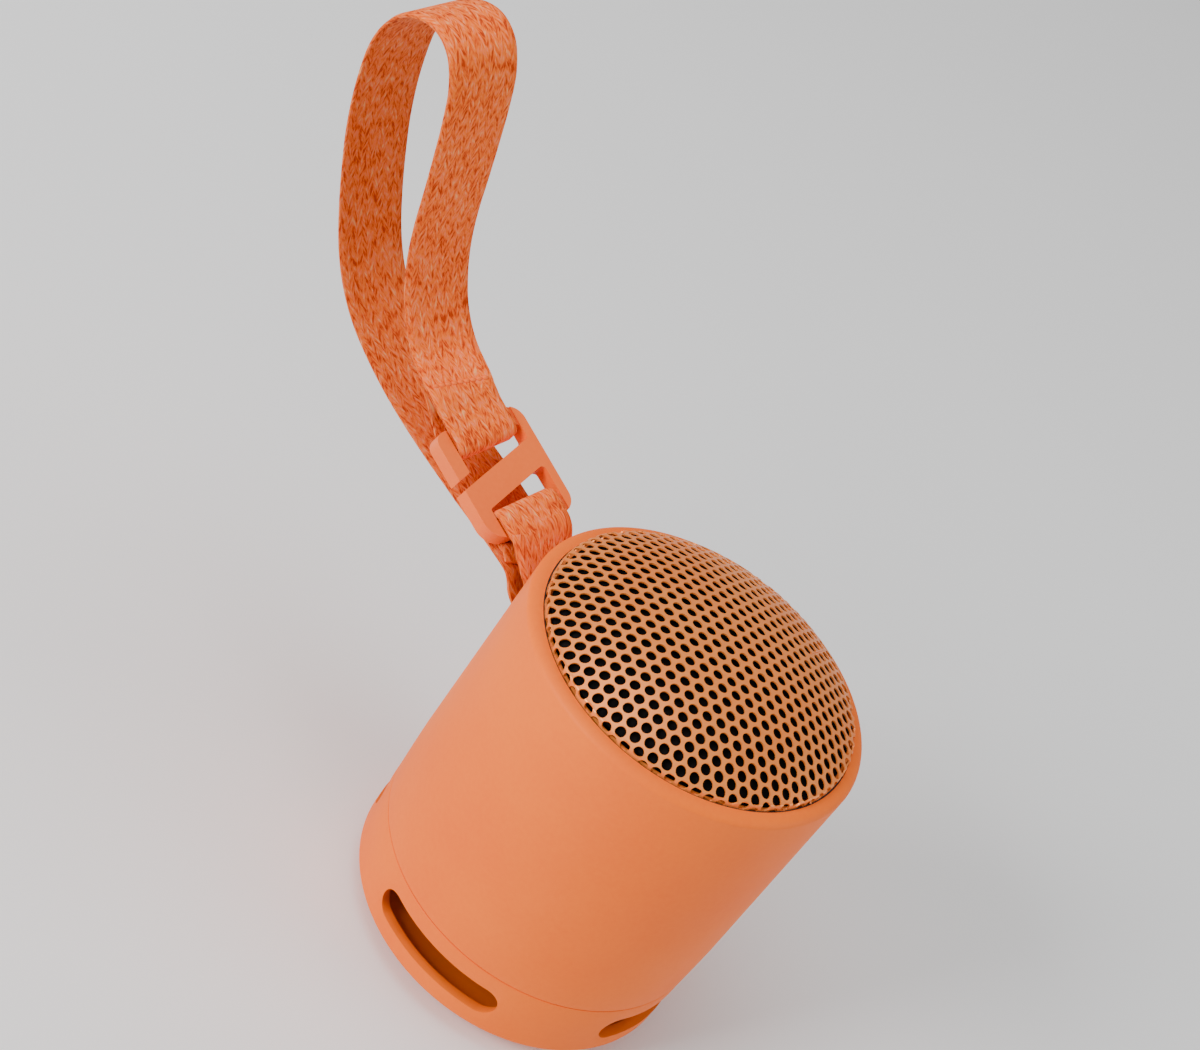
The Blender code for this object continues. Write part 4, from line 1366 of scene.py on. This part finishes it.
@dataclass
class Strap:
    """One length of knitted webbing.

    It runs from its sewn end at the fixed bar, round the pin and the hand loop, to the hook bar.
    """

    buckle: Buckle
    width: float = 15.4
    thickness: float = 1.2
    gap: float = 0.3
    pin_radius: float = 1.2
    turn_reach: float = 6.9
    edge_share: float = 0.42
    per_span: int = 8
    section_steps: int = 16
    stitches: int = 9
    stitch_margin: float = 1.2
    stitch_size: tuple[float, float, float] = (0.74, 0.50, 0.40)
    at_pin: Vector = field(default_factory=lambda: Vector((0.0, 1.0, 0.0)))
    in_loop: Vector = field(default_factory=lambda: Vector((0.233, 0.934, 0.268)).normalized())

    def loop_point(self, x: float, z: float) -> Vector:
        """A point of the hand loop, in the plane that the loop lies in."""
        return Vector((x, -(self.in_loop.x * (x + 37.5) + self.in_loop.z * (z - 78)) / self.in_loop.y, z))

    def round_pin(self, angle: float) -> Vector:
        """Finds a point of the webbing's turn round the pin.

        Args:
            angle: where on the turn, in degrees.

        Returns:
            The point, on the webbing's middle line.
        """
        reach = self.pin_radius + self.gap + self.thickness / 2
        return Vector((PIN_X + reach * math.cos(math.radians(angle)), 0,
                       PIN_Z + reach * math.sin(math.radians(angle))))

    def round_bar(self, side: int, order: int) -> list[tuple[Vector, Vector]]:
        """Lays the webbing's turn round one of the buckle's outer bars.

        Args:
            side: 1 for the hook bar and -1 for the fixed one.
            order: 1 from front to back and -1 from back to front.

        Returns:
            Middle points with the webbing's width direction at each.
        """
        offset, slot = self.gap + self.thickness / 2, self.turn_reach
        front, back = self.buckle.bar_front + offset, self.buckle.bar_back - offset
        turn = [(12.6, front), (9.6, front + 0.05), (8.2, front - 0.1), (slot + 0.2, front - 0.9),
                (slot, (front + back) / 2), (slot + 0.2, back + 0.9), (8.2, back + 0.1), (9.6, back - 0.05),
                (12.6, back - 0.3)]
        return [(self.buckle.at(side * away, up), self.buckle.across) for away, up in turn[::order]]

    def route(self) -> list[tuple[Vector, Vector]]:
        """Lays the webbing from one sewn end to the other.

        Returns:
            Points on its middle line with its width direction at each.
        """
        buckle, across = self.buckle, self.buckle.across
        near_pin = between(self.at_pin, across, 0.5)
        near_buckle = between(self.in_loop, across, 0.5)
        route = [(Vector((-40.2, 0.9, 73.4)), near_pin), (buckle.at(-14.8, -4.3), across)]
        route += self.round_bar(-1, -1)
        route += [(buckle.at(-14.2, 0.3), across), (Vector((-40.3, 1.0, 77.4)), near_pin)]
        route += [(self.round_pin(angle), self.at_pin) for angle in (48, 12, -24, -60, -96, -132)]
        route += [(Vector((-38.4, 0.5, 69.9)), between(self.at_pin, self.in_loop, 0.1)),
                  (Vector((-41.8, 1.6, 72.6)), between(self.at_pin, self.in_loop, 0.25)),
                  (Vector((-48.0, 3.6, 73.7)), between(self.at_pin, self.in_loop, 0.6))]
        route += [(self.loop_point(x, z), self.in_loop) for x, z in LOOP_ROUTE]
        route += [(buckle.at(19.5, 1.3), near_buckle), (buckle.at(14.8, 0.6), across)]
        route += self.round_bar(1, 1)
        route += [(buckle.at(15.2, -3.4), across), (buckle.at(20.0, -0.6), near_buckle),
                  (self.loop_point(-83.6, 88.6), self.in_loop)]
        return route

    def stations(self) -> list[tuple[Vector, Vector, Vector]]:
        """Divides the webbing into short even steps.

        Returns:
            The middle point, width direction and outward direction at each.
        """
        route = self.route()
        middle = smooth_route([point for point, _ in route], self.per_span)
        ways = [way for _, way in route]
        spread = [between(first, second, i / self.per_span)
                  for first, second in zip(ways, ways[1:]) for i in range(self.per_span)]
        spread.append(ways[-1])
        made = []
        for i, point in enumerate(middle):
            along = (middle[min(i + 1, len(middle) - 1)] - middle[max(i - 1, 0)]).normalized()
            wide = (spread[i] - along * spread[i].dot(along)).normalized()
            made.append((point, wide, along.cross(wide)))
        return made

    def section(self) -> Outline:
        """Draws the webbing's cut end, thinned towards its two edges.

        Returns:
            Its points, once round.
        """
        half, thick = self.width / 2, self.thickness / 2
        spots = [(-half + self.width * i / self.section_steps, 1) for i in range(self.section_steps + 1)]
        outline = []
        for x, side in spots + [(x, -1) for x, _ in spots[::-1]]:
            edge = min((half - abs(x)) / thick, 1.0)
            fullness = self.edge_share + (1 - self.edge_share) * math.sqrt(edge * (2 - edge))
            outline.append((x, side * thick * fullness))
        return outline

    def build(self) -> tuple[bpy.types.Object, float]:
        """Makes the webbing by running its section from station to station.

        Returns:
            The webbing and its length in millimetres.
        """
        shape = bmesh.new()
        yarn = shape.loops.layers.uv.new("yarn")
        outline = self.section()
        around_cut = [0.0]
        for (x0, y0), (x1, y1) in zip(outline, outline[1:] + outline[:1]):
            around_cut.append(around_cut[-1] + math.hypot(x1 - x0, y1 - y0))
        stations = self.stations()
        rows, run = [], [0.0]
        for i, (point, wide, out) in enumerate(stations):
            if i:
                run.append(run[-1] + (point - stations[i - 1][0]).length)
            rows.append([shape.verts.new((point + wide * x + out * y) * MM) for x, y in outline])
        count = len(outline)
        for i, (row, following) in enumerate(zip(rows, rows[1:])):
            for k in range(count):
                beside = (k + 1) % count
                face = shape.faces.new((row[k], row[beside], following[beside], following[k]))
                spots = ((k, i), (k + 1, i), (k + 1, i + 1), (k, i + 1))
                for loop, (a, b) in zip(face.loops, spots):
                    loop[yarn].uv = (around_cut[a], run[b])
        shape.faces.new(rows[0][::-1])
        shape.faces.new(rows[-1])
        bmesh.ops.recalc_face_normals(shape, faces=shape.faces)
        return finish_mesh("webbing_strap", shape, smooth_angle=60), run[-1]

    def nearest(self, target: Vector) -> int:
        """The number of the station nearest a point."""
        stations = self.stations()
        return min(range(len(stations)), key=lambda i: (stations[i][0] - target).length)

    def build_seam(self, name: str, target: Vector, side: int) -> bpy.types.Object:
        """Makes a line of stitches across the webbing.

        Args:
            name: the piece's name.
            target: a point near the seam's middle.
            side: which face of the webbing it lies on.

        Returns:
            The stitches, as one mesh.
        """
        point, wide, out = self.stations()[self.nearest(target)]
        lift = out * side * (self.thickness / 2 + 0.02)
        turn = Matrix((wide, wide.cross(out), out)).transposed().to_4x4()
        reach = self.width - 2 * self.stitch_margin
        shape = bmesh.new()
        for i in range(self.stitches):
            middle = point + lift + wide * (reach * ((i + 0.5) / self.stitches - 0.5))
            made = bmesh.ops.create_uvsphere(shape, u_segments=8, v_segments=5, radius=MM)["verts"]
            bmesh.ops.scale(shape, vec=self.stitch_size, verts=made)
            bmesh.ops.transform(shape, matrix=Matrix.Translation(middle * MM) @ turn, verts=made)
        return finish_mesh(name, shape)

    def dress(self, wardrobe: Wardrobe) -> None:
        """Makes the strap and its seams, and places them on their body.

        Args:
            wardrobe: where the finishes come from.
        """
        webbing, length = self.build()
        wardrobe.dress(webbing, "webbing", "strap", ["strap"])
        seams = [self.build_seam("hook_seam", self.buckle.at(20.5, 2), 1),
                 self.build_seam("hook_seam_back", self.buckle.at(20.5, 2), -1)]
        for seam in seams:
            wardrobe.dress(seam, "buckle_plastic", "strap")
        LOG.info("webbing length %.1f mm", length)


# ---------------------------------------------------------------- studio

@dataclass(frozen=True)
class Lamp:
    """A square soft light, in metres and watts."""

    name: str
    spot: tuple[float, float, float]
    size: float
    power: float


@dataclass
class Studio:
    """The camera, the pale floor and the soft lights."""

    aim: tuple[float, float, float] = (-34.57, 2.77, 91.03)
    distance: float = 500.0
    azimuth: float = 15.0
    elevation: float = 35.87
    roll: float = 35.65
    lens: float = 75.1
    floor_radius: float = 4.0
    lit_height: float = 0.06
    daylight: float = 0.45
    lamps: tuple[Lamp, ...] = (Lamp("key_light", (-0.62, -1.05, 0.66), 0.55, 18.0),
                               Lamp("top_light", (-0.35, -0.1, 1.3), 0.8, 6.0),
                               Lamp("edge_light", (1.0, 0.45, 0.45), 0.7, 4.0))

    def build_camera(self) -> None:
        """Makes the camera, which stands off from its aim and is rolled about its own view."""
        data = bpy.data.cameras.new("camera")
        data.lens = self.lens
        data.sensor_width = 36
        data.clip_start, data.clip_end = 0.01, 20
        camera = bpy.data.objects.new("camera", data)
        turn = (Matrix.Rotation(math.radians(self.azimuth), 4, "Z")
                @ Matrix.Rotation(math.radians(90 - self.elevation), 4, "X")
                @ Matrix.Rotation(math.radians(self.roll), 4, "Z"))
        back = Matrix.Translation((0, 0, self.distance * MM))
        camera.matrix_world = Matrix.Translation(Vector(self.aim) * MM) @ turn @ back
        bpy.context.scene.collection.objects.link(camera)
        bpy.context.scene.camera = camera

    def build_floor(self) -> None:
        """Makes the pale floor."""
        shape = bmesh.new()
        bmesh.ops.create_circle(shape, cap_ends=True, segments=96, radius=self.floor_radius)
        floor = finish_mesh("floor", shape)
        nodes = Nodes("floor_paint")
        paint = nodes.ramp(nodes.noise(3, 2), [(0.3, (0.93, 0.93, 0.93)), (0.7, (0.96, 0.96, 0.96))])
        nodes.link(paint, "Base Color")
        nodes.shader.inputs["Roughness"].default_value = 0.9
        floor.data.materials.append(nodes.material)

    def build_lamp(self, lamp: Lamp) -> None:
        """Makes one soft light, turned towards the speaker.

        Args:
            lamp: its place, size and power.
        """
        data = bpy.data.lights.new(lamp.name, "AREA")
        data.size = lamp.size
        data.energy = lamp.power
        light = bpy.data.objects.new(lamp.name, data)
        light.location = lamp.spot
        light.rotation_mode = "QUATERNION"
        towards = Vector(lamp.spot) - Vector((0, 0, self.lit_height))
        light.rotation_quaternion = towards.to_track_quat("Z", "Y")
        bpy.context.scene.collection.objects.link(light)

    def build(self) -> None:
        """Makes the whole studio."""
        self.build_camera()
        self.build_floor()
        for lamp in self.lamps:
            self.build_lamp(lamp)
        world = bpy.data.worlds.new("studio")
        bpy.context.scene.world = world
        world.use_nodes = True
        sky = world.node_tree.nodes["Background"]
        sky.inputs["Color"].default_value = (1, 1, 1, 1)
        sky.inputs["Strength"].default_value = self.daylight


def main() -> None:
    """Builds the studio and the speaker's sub-assemblies in order."""
    logging.basicConfig(level=logging.INFO, format="%(name)s %(message)s")
    for item in list(bpy.data.objects):
        if item.type in ("LIGHT", "CAMERA"):
            bpy.data.objects.remove(item, do_unlink=True)
    Studio().build()
    wardrobe = Wardrobe()
    wardrobe.repaint_frame()
    buckle = Buckle()
    for assembly in (Housing(), Grille(), Controls(), Foot(), buckle, Strap(buckle)):
        assembly.dress(wardrobe)


if __name__ == "__main__":
    main()
